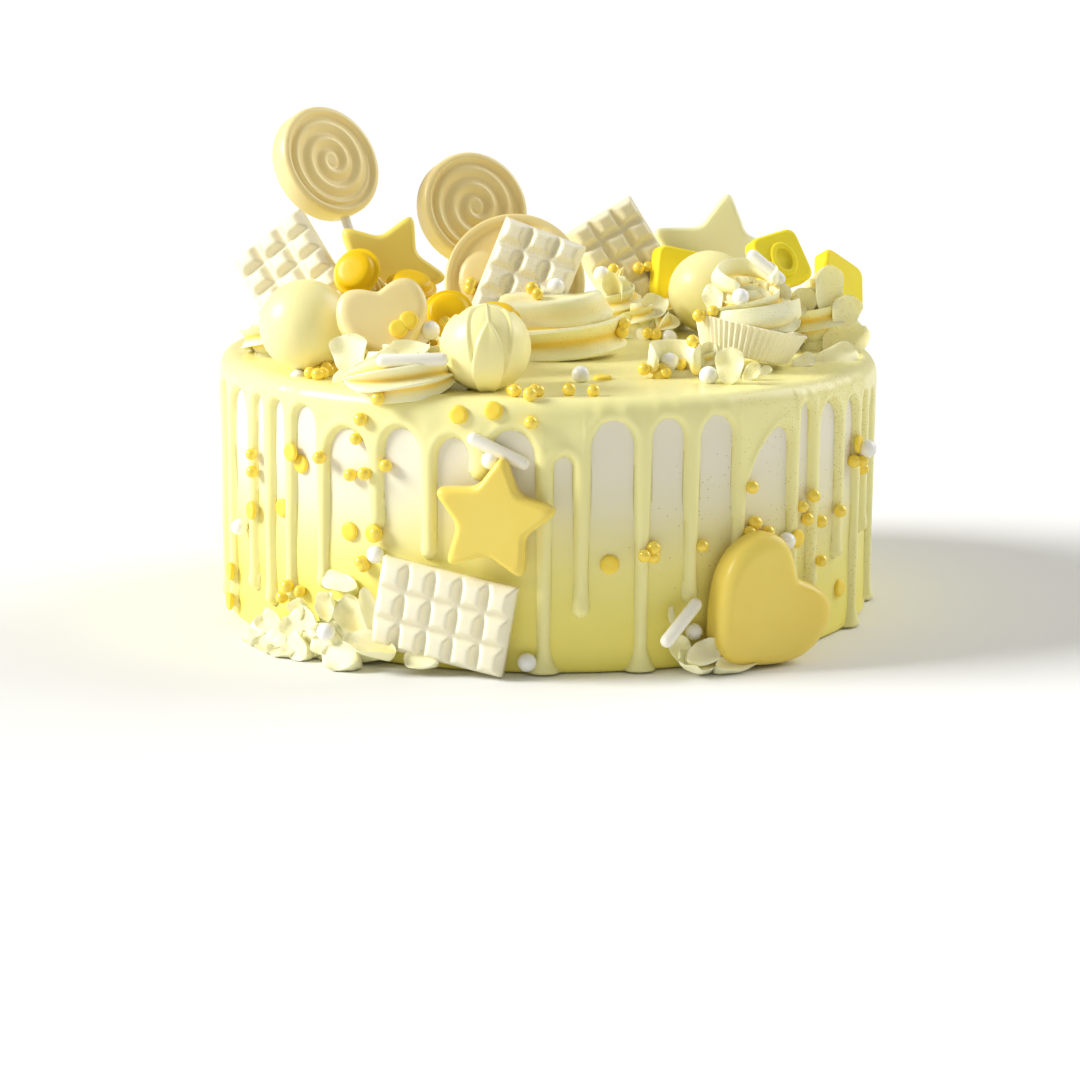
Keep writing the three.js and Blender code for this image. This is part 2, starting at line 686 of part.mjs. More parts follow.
const LOLLIES = [
  { name: 'left', at: [-75.8, 8, 147.4], turn: 42, lean: 24.5, spin: 5 },
  { name: 'right', at: [-26.4, 19, 131.2], turn: 28, lean: 21.5, spin: 0 },
];
for (const { name, ...pose } of LOLLIES) {
  const place = standing(pose);
  addPiece(`lollipop_${name}`, ivory, lollyDisc(), place, LOLLY_BODY);
  const stickLength = 70;
  const stick = solidFrom(new THREE.CylinderGeometry(LOLLY.stick, LOLLY.stick, stickLength, 10)
    .translate(0, -(LOLLY.radius + GAP + stickLength / 2), 0));
  addPiece(`stick_${name}`, paper, stick, place);
}

const smallBar = { material: white, shape: bar(), ...BAR_BODY };
const plainTile = { material: brightYellow, shape: tile(false) };
const LEANING = {
  medallion: {
    material: ivory, shape: medallion(), ...MEDALLION_BODY, at: [-11.3, -5, 108.8], lean: 20,
  },
  bar_middle: { ...smallBar, at: [-8.7, -12.9, 107], lean: 20, spin: -111 },
  bar_left: { ...smallBar, at: [-83, -32, 111.5], turn: -28, lean: 25, spin: -46 },
  bar_back: { ...smallBar, at: [29, 57, 107], turn: 18, lean: 20, spin: -63 },
  star_back: {
    material: paleYellow, shape: star(BIG_STAR), at: [61.5, 69, 106.9], turn: 6, lean: 18, spin: -9.6,
  },
  star_left: {
    material: paleYellow, shape: star(STAR), at: [-53.3, -32, 116.2], turn: 8, lean: 14, spin: -26,
  },
  heart_top: {
    material: white, shape: heart(TOP_HEART), at: [-51.5, -74, 104.4], turn: 4, lean: 26, spin: 14,
  },
  tile_ball: { ...plainTile, at: [46.2, 55, 104.5], turn: 28, lean: 15, spin: -13 },
  tile_ringed: {
    material: brightYellow, shape: tile(true), at: [78, -2, 116.5], turn: 28, lean: 28, spin: 12,
  },
  tile_right: { ...plainTile, at: [100, 12, 107.5], turn: 52, lean: 30, spin: -36 },
};
for (const [name, { material, shape, body, ...pose }] of Object.entries(LEANING)) {
  addPiece(name, material, shape, standing(pose), { body });
}

const MELTS = [
  { at: [-62, -46, 117], turn: -24, lean: 28 },
  { at: [-44.5, -47, 112.5], turn: 30, lean: 68 },
  { at: [-32, -60, 105.5], turn: 0, lean: 30 },
  { at: [-17, -56, 103.5], turn: 10, lean: 72 },
];
MELTS.forEach((pose, i) => {
  addPiece(`melt_${i + 1}`, brightYellow, melt(), standing(pose), MELT_BODY);
});

const cupPlace = upright({ at: [64, -41.6, 90.2], turn: 20 })
  .multiply(new THREE.Matrix4().makeRotationY(radians(13)));
addPiece('fluted_cup', white, cup(), cupPlace);

// Cream, cut round the sweets that are pressed into it. Small decorations that lie on it are
// part of it.
function decorated(solid, decorations) {
  return joined([solid, ...decorations.map(([shape, at]) => shape.translate(at))]);
}

function addCream(name, shape, place, options) {
  return addPiece(name, cream, shape, place, { grow: GAP, ...options });
}

const cupFill = cupInside(CUP.floor + GAP, CUP.height + 0.5, -2 * GAP, 9);
const cupRosette = rosette({ radius: 16, height: 24, turns: 2, depth: 0.08, columns: 11 })
  .rotate([0, -13, 0])
  .translate([0, 0, CUP.height + GAP]);
addCream('cream_cup', joined([
  cupFill, cupRosette,
  rod(17).rotate([0, 62, -20]).translate([0.5, -4, CUP.height + 18]),
  pearl(WHITE_PEARL).translate([-5.5, -9.5, CUP.height + 8.5]),
  pearl(GOLD_PEARL).translate([-13, -5, CUP.height + 2.2]),
]), cupPlace);
addCream('cream_right', heaped(
  rosette({ radius: 15, height: 27, turns: 2.2, columns: 11 }),
  { x: 92, y: 5, turn: 40 }, [{ radius: 14, height: 24.5, at: [78, -3] }],
), upright({ at: [92, 5, SHELF], turn: 40 }));
addCream('cream_small', heaped(decorated(
  rosette({ radius: 11.5, height: 23, turns: 2, ridges: 4, columns: 10 }),
  [[pearl(WHITE_PEARL), [-3.6, -3.5, 19.5]], [pearl(GOLD_PEARL), [2.5, -5.5, 15.5]]],
), { x: 25, y: 40, turn: -20 }, [
  { radius: 13.5, height: 12.5, at: [43.5, 50] }, { radius: 12, height: 11, at: [34, 27] },
]),
upright({ at: [25, 40, SHELF], turn: -20 }));
const sweep = { width: 9, thick: 5, steps: 4 };
addCream('cream_centre', decorated(joined([
  mound({ radius: 21, height: 20, wide: 1.2 }),
  ribbon({ ...sweep, reach: 22, from: 200, to: 335, rise: 1.5, ruffle: 0 }),
  ribbon({ ...sweep, reach: 18, from: 215, to: 350, rise: 2, ruffle: 0, thick: 6 }).translate([1, 0, 6]),
]), [[pearl(WHITE_PEARL), [3, -11, 19.5]]]),
upright({ at: [0, -10, SHELF] }));
const curl = { width: 8.5, thick: 4.5, rise: 1, ruffle: 0.7 };
addCream('cream_front', decorated(joined([
  rosette({ radius: 15.5, height: 14, turns: 1.2, ridges: 4, depth: 0.05, columns: 12, rows: 4, wide: 1.2 }),
  ribbon({ ...curl, reach: 20.5, from: 200, to: 345 }),
  ribbon({ ...curl, reach: 18, from: 185, to: 330 }).translate([-1, 0, 5]),
]), [[rod(), [3.5, -13, 9.6]]]),
upright({ at: [-47, -86, SHELF] }));
const PLAIN_CREAM = [
  {
    side: 'mound', radius: 19, height: 27, turns: 1.5, depth: 0.06, columns: 12, x: -48, y: -36, turn: 30,
    heaps: [{ radius: 18, height: 29.5, at: [-55, -43] }, { radius: 15, height: 17.5, at: [-25, -53] }],
  },
  { side: 'left', radius: 12.5, height: 15, turns: 1.6, columns: 11, x: -92, y: -20, turn: 80 },
  { side: 'back', radius: 15, height: 15, turns: 1.6, columns: 10, rows: 5, x: 3, y: 78, turn: 15 },
  { side: 'rear', radius: 15, height: 15, turns: 1.6, columns: 10, rows: 5, x: -54, y: 50, turn: 60 },
];
for (const { side, x, y, turn, heaps = [], ...shape } of PLAIN_CREAM) {
  const swirl = heaped(rosette(shape), { x, y, turn }, heaps);
  addCream(`cream_${side}`, swirl, upright({ at: [x, y, SHELF], turn }));
}

// A cluster of petals on the top, each tipped up from lying flat and then turned
const TOP_PETALS = [
  { length: 15, width: 14, thick: 6, turn: 12, tip: 62, at: [-9, 4, 6] },
  { length: 15, width: 10, thick: 6, turn: 110, tip: 12, at: [-1, 2, 2.4] },
  { length: 12.5, width: 11, thick: 5.5, turn: -16, tip: 66, at: [8, -2, 5.5] },
  { length: 12, width: 8, thick: 5, turn: 250, tip: 10, at: [4, 0, 2.2] },
  { length: 8.5, width: 6.5, thick: 4, turn: 250, tip: 15, at: [12, -1, 2] },
];
addCream('cream_petals', decorated(joined(
  TOP_PETALS.map(({ at, turn, tip, ...size }) => moved(petal(size), upright({ at, turn, tip }))),
), [
  [pearl(GOLD_PEARL), [-9, -2.6, 2.6]], [pearl(WHITE_PEARL), [-8.5, -1, 7.5]],
  [mound({ radius: 11, height: 6.5, wide: 1, columns: 8, rows: 3 }), [3.5, 15, 0]],
]), upright({ at: [48.5, -68, SHELF] }));

// Dabs of cream at the foot of the cake, kept clear of the coat and of the drips
const nearSide = solidFrom(new THREE.CylinderGeometry(
  SIDE_BACK, SIDE_BACK, 200, 2 * ROUND_SEGMENTS,
).rotateX(Math.PI / 2));
const besideFoot = [belowBoard, nearSide, ...drips.map((_, i) => dripColumn(i, GAP))];
const footDab = (turn, height, away, { lean = 0, spin = 0, ...size }) => (
  moved(petal(size), onSide({ turn, radius: CAKE_RADIUS + away, height, lean, spin }))
);
const footPearl = (turn, height, away) => pearl(WHITE_PEARL).translate(
  sidePoint(turn, CAKE_RADIUS + away, height).toArray(),
);
const footLump = (turn, away, length, thick) => footDab(
  turn, 0.5 * thick, away, { length, width: thick + 2, thick, curl: 0, spin: 90 },
);
const FOOT_CREAM = {
  left: [
    footLump(-50.5, 5.5, 20, 8),
    footDab(-53.5, 6, 6, { length: 17, width: 13, thick: 8, lean: 20, spin: -22 }),
    footDab(-47.5, 4.5, 9, { length: 15, width: 14, thick: 8, lean: 35, spin: -25 }),
    footPearl(-50, 11.5, 4.5),
  ],
  middle: [
    footLump(-34.5, 7, 42, 11),
    footDab(-41.2, 13, 6, { length: 14, width: 12, thick: 9, lean: 10, spin: 12 }),
    footDab(-38.5, 6, 8, { length: 16, width: 15, thick: 11, lean: 15 }),
    footDab(-33.8, 22, 4.5, { length: 15, width: 13, thick: 6, lean: 20, spin: 10 }),
    footDab(-31.6, 13.5, 6.5, { length: 21, width: 13, thick: 7, lean: 12 }),
    footDab(-27.4, 17, 8.5, { length: 21, width: 8, thick: 6, lean: 8, spin: 27 }),
    footDab(-27.2, 6, 13, { length: 20, width: 11, thick: 8, lean: 40, spin: 78 }),
    footDab(-32.4, 4.4, 14.5, { length: 15, width: 12, thick: 8, lean: 50, spin: -60 }),
    footPearl(-33.8, 12, 11.5),
  ],
  bar: [footDab(-18.4, 3.4, 8, { length: 12, width: 11, thick: 6, lean: 60, spin: 80 })],
  right: [
    footDab(22.4, 5.2, 9.5, { length: 16, width: 13, thick: 9, lean: 30, spin: -70 }),
    footDab(28.2, 3.8, 12, { length: 14, width: 9, thick: 7, lean: 50, spin: -80 }),
    footDab(21, 13, 5.5, { length: 17, width: 9, thick: 7, lean: 5, spin: 5 }),
    rod().rotate([0, -48, 21]).translate(sidePoint(21, CAKE_RADIUS + 9, 15.5).toArray()),
  ],
};
for (const [side, pieces] of Object.entries(FOOT_CREAM)) {
  addCream(`cream_foot_${side}`, joined(pieces), new THREE.Matrix4(), { below: besideFoot });
}

// The cake and its glaze, with the small decorations that lie on them

// Where a decoration sits on the side: on the sheet of glaze, on a drip or on the bare coat
function seatOnSide(turn, height, radius) {
  if (height > edgeHeight(turn)) return { onGlaze: true, turn, surface: GLAZE_INSIDE + GLAZE_THICKNESS };
  const reach = THREE.MathUtils.radToDeg((radius + BEAD_HALF_WIDTH + GAP) / CAKE_RADIUS);
  const near = drips.find((drip) => height > drip.foot + 1 && Math.abs(turnBetween(drip.turn, turn)) < reach);
  if (near) return { onGlaze: true, turn: near.turn, surface: DRIP_FACE };
  return { onGlaze: false, turn, surface: CAKE_RADIUS - 0.1 };
}

function turnBetween(one, other) {
  return ((((one - other) % 360) + 540) % 360) - 180;
}

const onCoat = [];
const onGlaze = [];
function decorateSide(places, size, shapeAt) {
  for (const [turn, height] of places) {
    const seat = seatOnSide(turn, height, size);
    const solid = shapeAt(seat, height);
    const crossesArch = !seat.onGlaze && height + size + GAP > edgeHeight(seat.turn);
    if (!touches(solid) && !crossesArch) (seat.onGlaze ? onGlaze : onCoat).push(solid);
  }
}

// The height of the glaze's edge at any turn between two drips
function edgeHeight(turn) {
  const i = drips.findIndex((drip, k) => {
    const next = drips[(k + 1) % drips.length];
    return (turn - drip.turn + 720) % 360 < (next.turn - drip.turn + 360) % 360;
  });
  const { drip, middle, halfTurn, halfGap } = gapAfter(i);
  return archHeight(drip, halfGap, THREE.MathUtils.clamp(turnBetween(turn, middle) / halfTurn, -1, 1));
}

const pearlAt = (radius) => (seat, height) => pearl(radius)
  .translate(sidePoint(seat.turn, seat.surface + PEARL_PROUD * radius, height).toArray());
const confettiAt = (seat, height) => moved(confetti(), onSide({
  turn: seat.turn, radius: seat.surface + 0.25 * CONFETTI.thickness, height,
}));

// The side that the front hides is strewn by a seeded rule, as thinly as the front
const random = seeded(5);
const strewn = (count, low, high) => Array.from(
  { length: count }, () => [lerp(84, 276, random()), lerp(low, high, random())],
);
decorateSide([...SIDE_WHITE_PEARLS, ...strewn(1, 6, 70)], WHITE_PEARL, pearlAt(WHITE_PEARL));
decorateSide([...SIDE_CONFETTI, ...strewn(2, 10, 70)], CONFETTI.radius, confettiAt);
decorateSide([...SIDE_GOLD_PEARLS, ...strewn(4, 14, 74)], GOLD_PEARL, pearlAt(GOLD_PEARL));
onGlaze.push(rod().rotate([0, 20, 0]).rotate([0, 0, -7.4]).translate(sidePoint(-7.4, 113.3, 72.6).toArray()));

for (const [radius, places] of [[WHITE_PEARL, TOP_WHITE_PEARLS], [GOLD_PEARL, TOP_GOLD_PEARLS]]) {
  for (const [x, y] of places) {
    const solid = pearl(radius).translate([x, y, TOP + PEARL_PROUD * radius]);
    if (!touches(solid)) onGlaze.push(solid);
  }
}
for (const [x, y] of TOP_CONFETTI) onGlaze.push(confetti().translate([x, y, TOP + 0.2]));

addMesh('glaze', glaze, joined([glazeSheet(), ...drips.map((_, i) => dripColumn(i)), ...onGlaze]));
addMesh('cake', coat, joined([cakeBody(), ...onCoat]));

export default cake;
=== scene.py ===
import math

import bmesh
import bpy
from mathutils import Matrix, Vector, noise
from mathutils.bvhtree import BVHTree


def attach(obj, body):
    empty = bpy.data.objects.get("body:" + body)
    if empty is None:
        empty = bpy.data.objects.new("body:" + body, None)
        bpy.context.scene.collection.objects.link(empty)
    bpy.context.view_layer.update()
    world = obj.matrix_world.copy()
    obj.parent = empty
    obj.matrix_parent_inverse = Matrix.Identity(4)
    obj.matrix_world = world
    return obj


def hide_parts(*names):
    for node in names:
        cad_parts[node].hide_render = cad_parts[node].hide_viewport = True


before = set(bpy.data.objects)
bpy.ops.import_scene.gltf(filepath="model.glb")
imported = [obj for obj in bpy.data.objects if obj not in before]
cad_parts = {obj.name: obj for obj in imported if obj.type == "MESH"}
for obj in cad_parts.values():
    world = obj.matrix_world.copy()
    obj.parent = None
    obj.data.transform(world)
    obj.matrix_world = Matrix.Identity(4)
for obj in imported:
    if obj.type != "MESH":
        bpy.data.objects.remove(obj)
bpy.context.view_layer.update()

# Shapes are made in millimetres and scaled to metres when they become pieces.
MM = 0.001
TURN = 2 * math.pi

# The cake and its glaze
CAKE_RADIUS = 110.0
CAKE_HEIGHT = 85.0
COAT_RIM = 4.0
GLAZE_TOP = 86.3
SHELF = 86.6
RIM_CENTRE = (106.0, 81.0)
GLAZE_SEAT = 110.05
GLAZE_BURIED = 109.6
CURTAIN_THICKNESS = 1.25
DRIP_THICKNESS = 2.0
DRIP_HALF_WIDTH = 1.95
BEAD_HALF_WIDTH = 2.5
POOL_HEIGHT = 9.0
SIDE_BACK = 113.0

# Drips that face the front: turn from the front in degrees, lower end, arch on the right, slant
FRONT_DRIPS = [
    (-77, 4, 79, 0), (-70.5, 3, 79, 0), (-60, 14, 79, 0), (-54, 11, 79, 0), (-48, 15, 79, 0),
    (-40, 21, 74, 0), (-29, 43, 76, 0), (-19.5, 35, 74, 0), (-11, 61, 77, 0), (-0.5, 0, 69, 0),
    (5.5, 18, 80, 0), (15.5, 0, 80, 0), (24, 21, 80, 0), (33, 7, 79, 15), (45, 21, 80, 0),
    (50.5, 19, 79, 0), (59, 26, 78, 0), (66.5, 0, 78, 0), (71.5, 30, 77, 0), (79, 4, 78, 0),
]

# Sizes of the moulded sweets
BAR = {"length": 43.0, "width": 28.0, "base": 4.2, "relief": 2.2, "columns": 5, "rows": 3}
STAR = {"radius": 19.5, "notch": 0.57, "thickness": 6.5}
BIG_STAR = {"radius": 26.0, "notch": 0.57, "thickness": 7.5}
SIDE_HEART = {"width": 44.0, "height": 40.0, "thickness": 10.5, "bevel": 3.6}
TOP_HEART = {"width": 29.0, "height": 26.0, "thickness": 8.0, "bevel": 2.6}
TILE = {"side": 19.0, "corner": 4.0, "thickness": 6.0, "bevel": 1.4}
LOLLY_RADIUS = 19.5
LOLLY_THICKNESS = 9.0
STICK_RADIUS = 1.6
STICK_LENGTH = 70.0
MEDALLION_RADIUS = 23.7
MEDALLION_THICKNESS = 5.0
TRUFFLE_RADIUS = 13.3
CUP = {"base": 14.5, "rim": 18.9, "height": 10.5, "wall": 1.1, "floor": 1.4, "flutes": 56}
MELT = {"radius": 8.3, "thickness": 4.2}
WHITE_PEARL = 2.9
GOLD_PEARL = 2.1
DISC = {"radius": 2.95, "thickness": 1.3}
ROD_RADIUS = 2.1


def seeded(seed):
    """The same even spread of numbers from 0 to 1 on each run."""
    state = seed

    def following():
        nonlocal state
        state = (state * 1664525 + 1013904223) % 4294967296
        return state / 4294967296

    return following


def lerp(a, b, t):
    return a + (b - a) * t


def once(items):
    """Each item once, in the order of its first place, which is the same on each run."""
    return list(dict.fromkeys(items))


def clamp(value, low=0.0, high=1.0):
    return max(low, min(high, value))


def eased(value):
    value = clamp(value)
    return value * value * (3 - 2 * value)


# Camera, lights and floor

# The camera: lengths in millimetres, angles in degrees, its distance and its target in metres
SENSOR_WIDTH = 36.0
FOCAL_LENGTH = 99.868
CAMERA_ELEVATION = 12.121
CAMERA_ROLL = 0.374
CAMERA_DISTANCE = 1.036781
CAMERA_TARGET = (-0.002231, 0, 0.019)


def look():
    lens = bpy.data.cameras.new("camera")
    lens.sensor_width = SENSOR_WIDTH
    lens.lens = FOCAL_LENGTH
    lens.clip_start = 0.05
    camera = bpy.data.objects.new("camera", lens)
    bpy.context.scene.collection.objects.link(camera)
    elevation = math.radians(CAMERA_ELEVATION)
    back = Vector((0, -math.cos(elevation), math.sin(elevation)))
    roll = Matrix.Rotation(math.radians(CAMERA_ROLL), 4, "Z")
    turn = Matrix.Rotation(math.pi / 2 - elevation, 4, "X") @ roll
    camera.matrix_world = Matrix.Translation(Vector(CAMERA_TARGET) + back * CAMERA_DISTANCE) @ turn
    bpy.context.scene.camera = camera
    return camera


camera = look()


def daylight(name, turn, elevation, strength, spread):
    """Even light from far away: turn is from the front towards the right, in degrees."""
    light = bpy.data.lights.new(name, "SUN")
    light.energy = strength * math.pi
    light.angle = math.radians(spread)
    holder = bpy.data.objects.new(name, light)
    bpy.context.scene.collection.objects.link(holder)
    turn, elevation = math.radians(turn), math.radians(elevation)
    source = Vector((math.sin(turn) * math.cos(elevation), -math.cos(turn) * math.cos(elevation),
                     math.sin(elevation)))
    holder.rotation_euler = source.to_track_quat("Z", "Y").to_euler()


SKY_COLOUR = (1, 0.99, 0.965, 1)
SKY_STRENGTH = 0.35
# Each light: its turn and elevation in degrees, its strength and its spread in degrees
LIGHTS = {"window": (-86, 30, 1.2, 24), "room": (118, 34, 0.44, 40)}
# The floor, in metres, lies a little below the cake's base
FLOOR_RADIUS = 12.0
FLOOR_DROP = 0.0003
FLOOR_COLOUR = (0.88, 0.88, 0.87)


def studio():
    scene = bpy.context.scene
    scene.view_settings.view_transform = "Standard"
    world = bpy.data.worlds.new("studio")
    world.use_nodes = True
    world.node_tree.nodes["Background"].inputs["Color"].default_value = SKY_COLOUR
    world.node_tree.nodes["Background"].inputs["Strength"].default_value = SKY_STRENGTH
    scene.world = world
    for name, values in LIGHTS.items():
        daylight(name, *values)
    bm = bmesh.new()
    bmesh.ops.create_circle(bm, cap_ends=True, segments=64, radius=FLOOR_RADIUS)
    bmesh.ops.translate(bm, vec=(0, 0, -FLOOR_DROP), verts=bm.verts)
    mesh = bpy.data.meshes.new("floor")
    bm.to_mesh(mesh)
    bm.free()
    floor = bpy.data.objects.new("floor", mesh)
    scene.collection.objects.link(floor)
    mesh.materials.append(plain_finish("floor_paint", FLOOR_COLOUR, 0.9))


# Finishes

def linear(red, green, blue):
    """A colour of 0 to 255 as the shaders take it."""

    def one(value):
        value /= 255
        return value / 12.92 if value <= 0.04045 else ((value + 0.055) / 1.055) ** 2.4

    return (one(red), one(green), one(blue), 1.0)


COAT_ROUGHNESS = 0.25
GLOW_REACH = (0.0035, 0.003, 0.0014)


def new_finish(name, roughness, coat=0.0, subsurface=0.0, shine=0.5):
    material = bpy.data.materials.new(name)
    material.use_nodes = True
    shader = material.node_tree.nodes["Principled BSDF"]
    shader.inputs["Roughness"].default_value = roughness
    shader.inputs["Specular IOR Level"].default_value = shine
    shader.inputs["Coat Weight"].default_value = coat
    shader.inputs["Coat Roughness"].default_value = COAT_ROUGHNESS
    shader.inputs["Subsurface Weight"].default_value = subsurface
    shader.inputs["Subsurface Radius"].default_value = GLOW_REACH
    shader.inputs["Subsurface Scale"].default_value = 1.0
    return material, shader


def plain_finish(name, colour, roughness):
    material, shader = new_finish(name, roughness)
    shader.inputs["Base Color"].default_value = (*colour, 1)
    return material


def group(name, inputs, outputs):
    """An empty shader group with named sockets: each is (name, kind, value)."""
    tree = bpy.data.node_groups.new(name, "ShaderNodeTree")
    for title, kind, value in inputs:
        made = tree.interface.new_socket(title, in_out="INPUT", socket_type=f"NodeSocket{kind}")
        made.default_value = value
    for title, kind in outputs:
        tree.interface.new_socket(title, in_out="OUTPUT", socket_type=f"NodeSocket{kind}")
    return tree, tree.nodes.new("NodeGroupInput"), tree.nodes.new("NodeGroupOutput")


def node(tree, kind, settings=None, **values):
    made = tree.nodes.new(kind)
    for key, value in (settings or {}).items():
        setattr(made, key, value)
    for key, value in values.items():
        made.inputs[key.replace("_", " ")].default_value = value
    return made


def mottle_group():
    """A colour that drifts softly towards a second one in patches."""
    tree, given, result = group("Soft mottle", [
        ("Colour", "Color", (1, 1, 1, 1)), ("Second colour", "Color", (1, 1, 1, 1)),
        ("Scale", "Float", 60.0), ("Amount", "Float", 0.5),
    ], [("Colour", "Color")])
    link = tree.links.new
    place = node(tree, "ShaderNodeTexCoord")
    patches = node(tree, "ShaderNodeTexNoise", Detail=3.0, Roughness=0.55)
    spread = node(tree, "ShaderNodeMapRange")
    spread.inputs["From Min"].default_value = 0.35
    spread.inputs["From Max"].default_value = 0.7
    part = node(tree, "ShaderNodeMath", {"operation": "MULTIPLY"})
    mixed = node(tree, "ShaderNodeMix", {"data_type": "RGBA"})
    link(place.outputs["Object"], patches.inputs["Vector"])
    link(given.outputs["Scale"], patches.inputs["Scale"])
    link(patches.outputs["Fac"], spread.inputs["Value"])
    link(spread.outputs["Result"], part.inputs[0])
    link(given.outputs["Amount"], part.inputs[1])
    link(part.outputs["Value"], mixed.inputs["Factor"])
    link(given.outputs["Colour"], mixed.inputs["A"])
    link(given.outputs["Second colour"], mixed.inputs["B"])
    link(mixed.outputs["Result"], result.inputs["Colour"])
    return tree


# How large a speck is, as a share of the space between two
SPECK_SIZE = 0.24


def dust_group():
    """Fine specks of shimmer dust that fall thickest round one place."""
    tree, given, result = group("Shimmer dust", [
        ("Colour", "Color", (1, 1, 1, 1)), ("Speck colour", "Color", (0.2, 0.15, 0.05, 1)),
        ("Centre", "Vector", (0.06, 0.0, 0.07)), ("Reach", "Float", 0.07), ("Size", "Float", 900.0),
        ("Amount", "Float", 0.5),
    ], [("Colour", "Color"), ("Mask", "Float")])
    link = tree.links.new
    place = node(tree, "ShaderNodeTexCoord")
    specks = node(tree, "ShaderNodeTexVoronoi", Randomness=1.0)
    chance = node(tree, "ShaderNodeSeparateColor")
    dot = node(tree, "ShaderNodeMath", {"operation": "LESS_THAN"})
    dot.inputs[1].default_value = SPECK_SIZE
    away = node(tree, "ShaderNodeVectorMath", {"operation": "DISTANCE"})
    share = node(tree, "ShaderNodeMath", {"operation": "DIVIDE"})
    near = node(tree, "ShaderNodeMapRange", {"interpolation_type": "SMOOTHSTEP"})
    near.inputs["From Min"].default_value = 1.0
    near.inputs["From Max"].default_value = 0.2
    drift = node(tree, "ShaderNodeTexNoise", Scale=55.0, Detail=2.0)
    patches = node(tree, "ShaderNodeMapRange")
    patches.inputs["From Min"].default_value = 0.42
    patches.inputs["From Max"].default_value = 0.68
    thick = node(tree, "ShaderNodeMath", {"operation": "MULTIPLY"})
    odds = node(tree, "ShaderNodeMath", {"operation": "MULTIPLY"})
    kept = node(tree, "ShaderNodeMath", {"operation": "LESS_THAN"})
    mask = node(tree, "ShaderNodeMath", {"operation": "MULTIPLY"})
    mixed = node(tree, "ShaderNodeMix", {"data_type": "RGBA"})
    link(place.outputs["Object"], specks.inputs["Vector"])
    link(given.outputs["Size"], specks.inputs["Scale"])
    link(specks.outputs["Color"], chance.inputs["Color"])
    link(specks.outputs["Distance"], dot.inputs[0])
    link(place.outputs["Object"], away.inputs[0])
    link(given.outputs["Centre"], away.inputs[1])
    link(away.outputs["Value"], share.inputs[0])
    link(given.outputs["Reach"], share.inputs[1])
    link(share.outputs["Value"], near.inputs["Value"])
    link(place.outputs["Object"], drift.inputs["Vector"])
    link(drift.outputs["Fac"], patches.inputs["Value"])
    link(near.outputs["Result"], thick.inputs[0])
    link(patches.outputs["Result"], thick.inputs[1])
    link(thick.outputs["Value"], odds.inputs[0])
    link(given.outputs["Amount"], odds.inputs[1])
    link(chance.outputs["Red"], kept.inputs[0])
    link(odds.outputs["Value"], kept.inputs[1])
    link(dot.outputs["Value"], mask.inputs[0])
    link(kept.outputs["Value"], mask.inputs[1])
    link(mask.outputs["Value"], mixed.inputs["Factor"])
    link(given.outputs["Colour"], mixed.inputs["A"])
    link(given.outputs["Speck colour"], mixed.inputs["B"])
    link(mixed.outputs["Result"], result.inputs["Colour"])
    link(mask.outputs["Value"], result.inputs["Mask"])
    return tree


def skin_group():
    """The fine unevenness of a set or spread surface, as a height."""
    tree, given, result = group("Set skin", [
        ("Broad scale", "Float", 80.0), ("Fine scale", "Float", 900.0), ("Fine share", "Float", 0.3),
    ], [("Height", "Float")])
    link = tree.links.new
    place = node(tree, "ShaderNodeTexCoord")
    broad = node(tree, "ShaderNodeTexNoise", Detail=2.0)
    fine = node(tree, "ShaderNodeTexNoise", Detail=4.0, Roughness=0.6)
    part = node(tree, "ShaderNodeMath", {"operation": "MULTIPLY"})
    total = node(tree, "ShaderNodeMath", {"operation": "ADD"})
    link(place.outputs["Object"], broad.inputs["Vector"])
    link(place.outputs["Object"], fine.inputs["Vector"])
    link(given.outputs["Broad scale"], broad.inputs["Scale"])
    link(given.outputs["Fine scale"], fine.inputs["Scale"])
    link(fine.outputs["Fac"], part.inputs[0])
    link(given.outputs["Fine share"], part.inputs[1])
    link(broad.outputs["Fac"], total.inputs[0])
    link(part.outputs["Value"], total.inputs[1])
    link(total.outputs["Value"], result.inputs["Height"])
    return tree


MOTTLE = mottle_group()
DUST = dust_group()
SKIN = skin_group()
SPECKS = linear(216, 184, 104)


def use(tree, inner, values):
    made = tree.nodes.new("ShaderNodeGroup")
    made.node_tree = inner
    for key, value in values.items():
        made.inputs[key].default_value = value
    return made


def finish(name, colour, second, roughness, mottle=(60.0, 0.6), skin=(80.0, 900.0, 0.3), bump=0.0004,
           dust=None, coat=0.0, subsurface=0.0, shine=0.5, crease_shade_colour=None):
    """A food finish: two close colours in patches, a fine skin, shimmer dust where it fell and, on
    piped cream, painted shade: a deeper yellow in its creases, as much as the hollow layer says."""
    material, shader = new_finish(name, roughness, coat, subsurface, shine)
    tree = material.node_tree
    scale, amount = mottle
    patches = use(tree, MOTTLE, {
        "Colour": linear(*colour), "Second colour": linear(*second), "Scale": scale, "Amount": amount,
    })
    shown = patches.outputs["Colour"]
    # Painted shade: the creases are mixed towards a deeper yellow by the hollow layer.
    if crease_shade_colour:
        depth = node(tree, "ShaderNodeAttribute", {"attribute_name": "hollow"})
        crease_shade_mix = node(tree, "ShaderNodeMix", {"data_type": "RGBA"})
        crease_shade_mix.inputs["B"].default_value = linear(*crease_shade_colour)
        tree.links.new(depth.outputs["Fac"], crease_shade_mix.inputs["Factor"])
        tree.links.new(shown, crease_shade_mix.inputs["A"])
        shown = crease_shade_mix.outputs["Result"]
    if dust:
        specks = use(tree, DUST, {"Speck colour": SPECKS, **dust})
        tree.links.new(shown, specks.inputs["Colour"])
        shown = specks.outputs["Colour"]
    tree.links.new(shown, shader.inputs["Base Color"])
    add_skin(tree, shader, skin, bump)
    return material


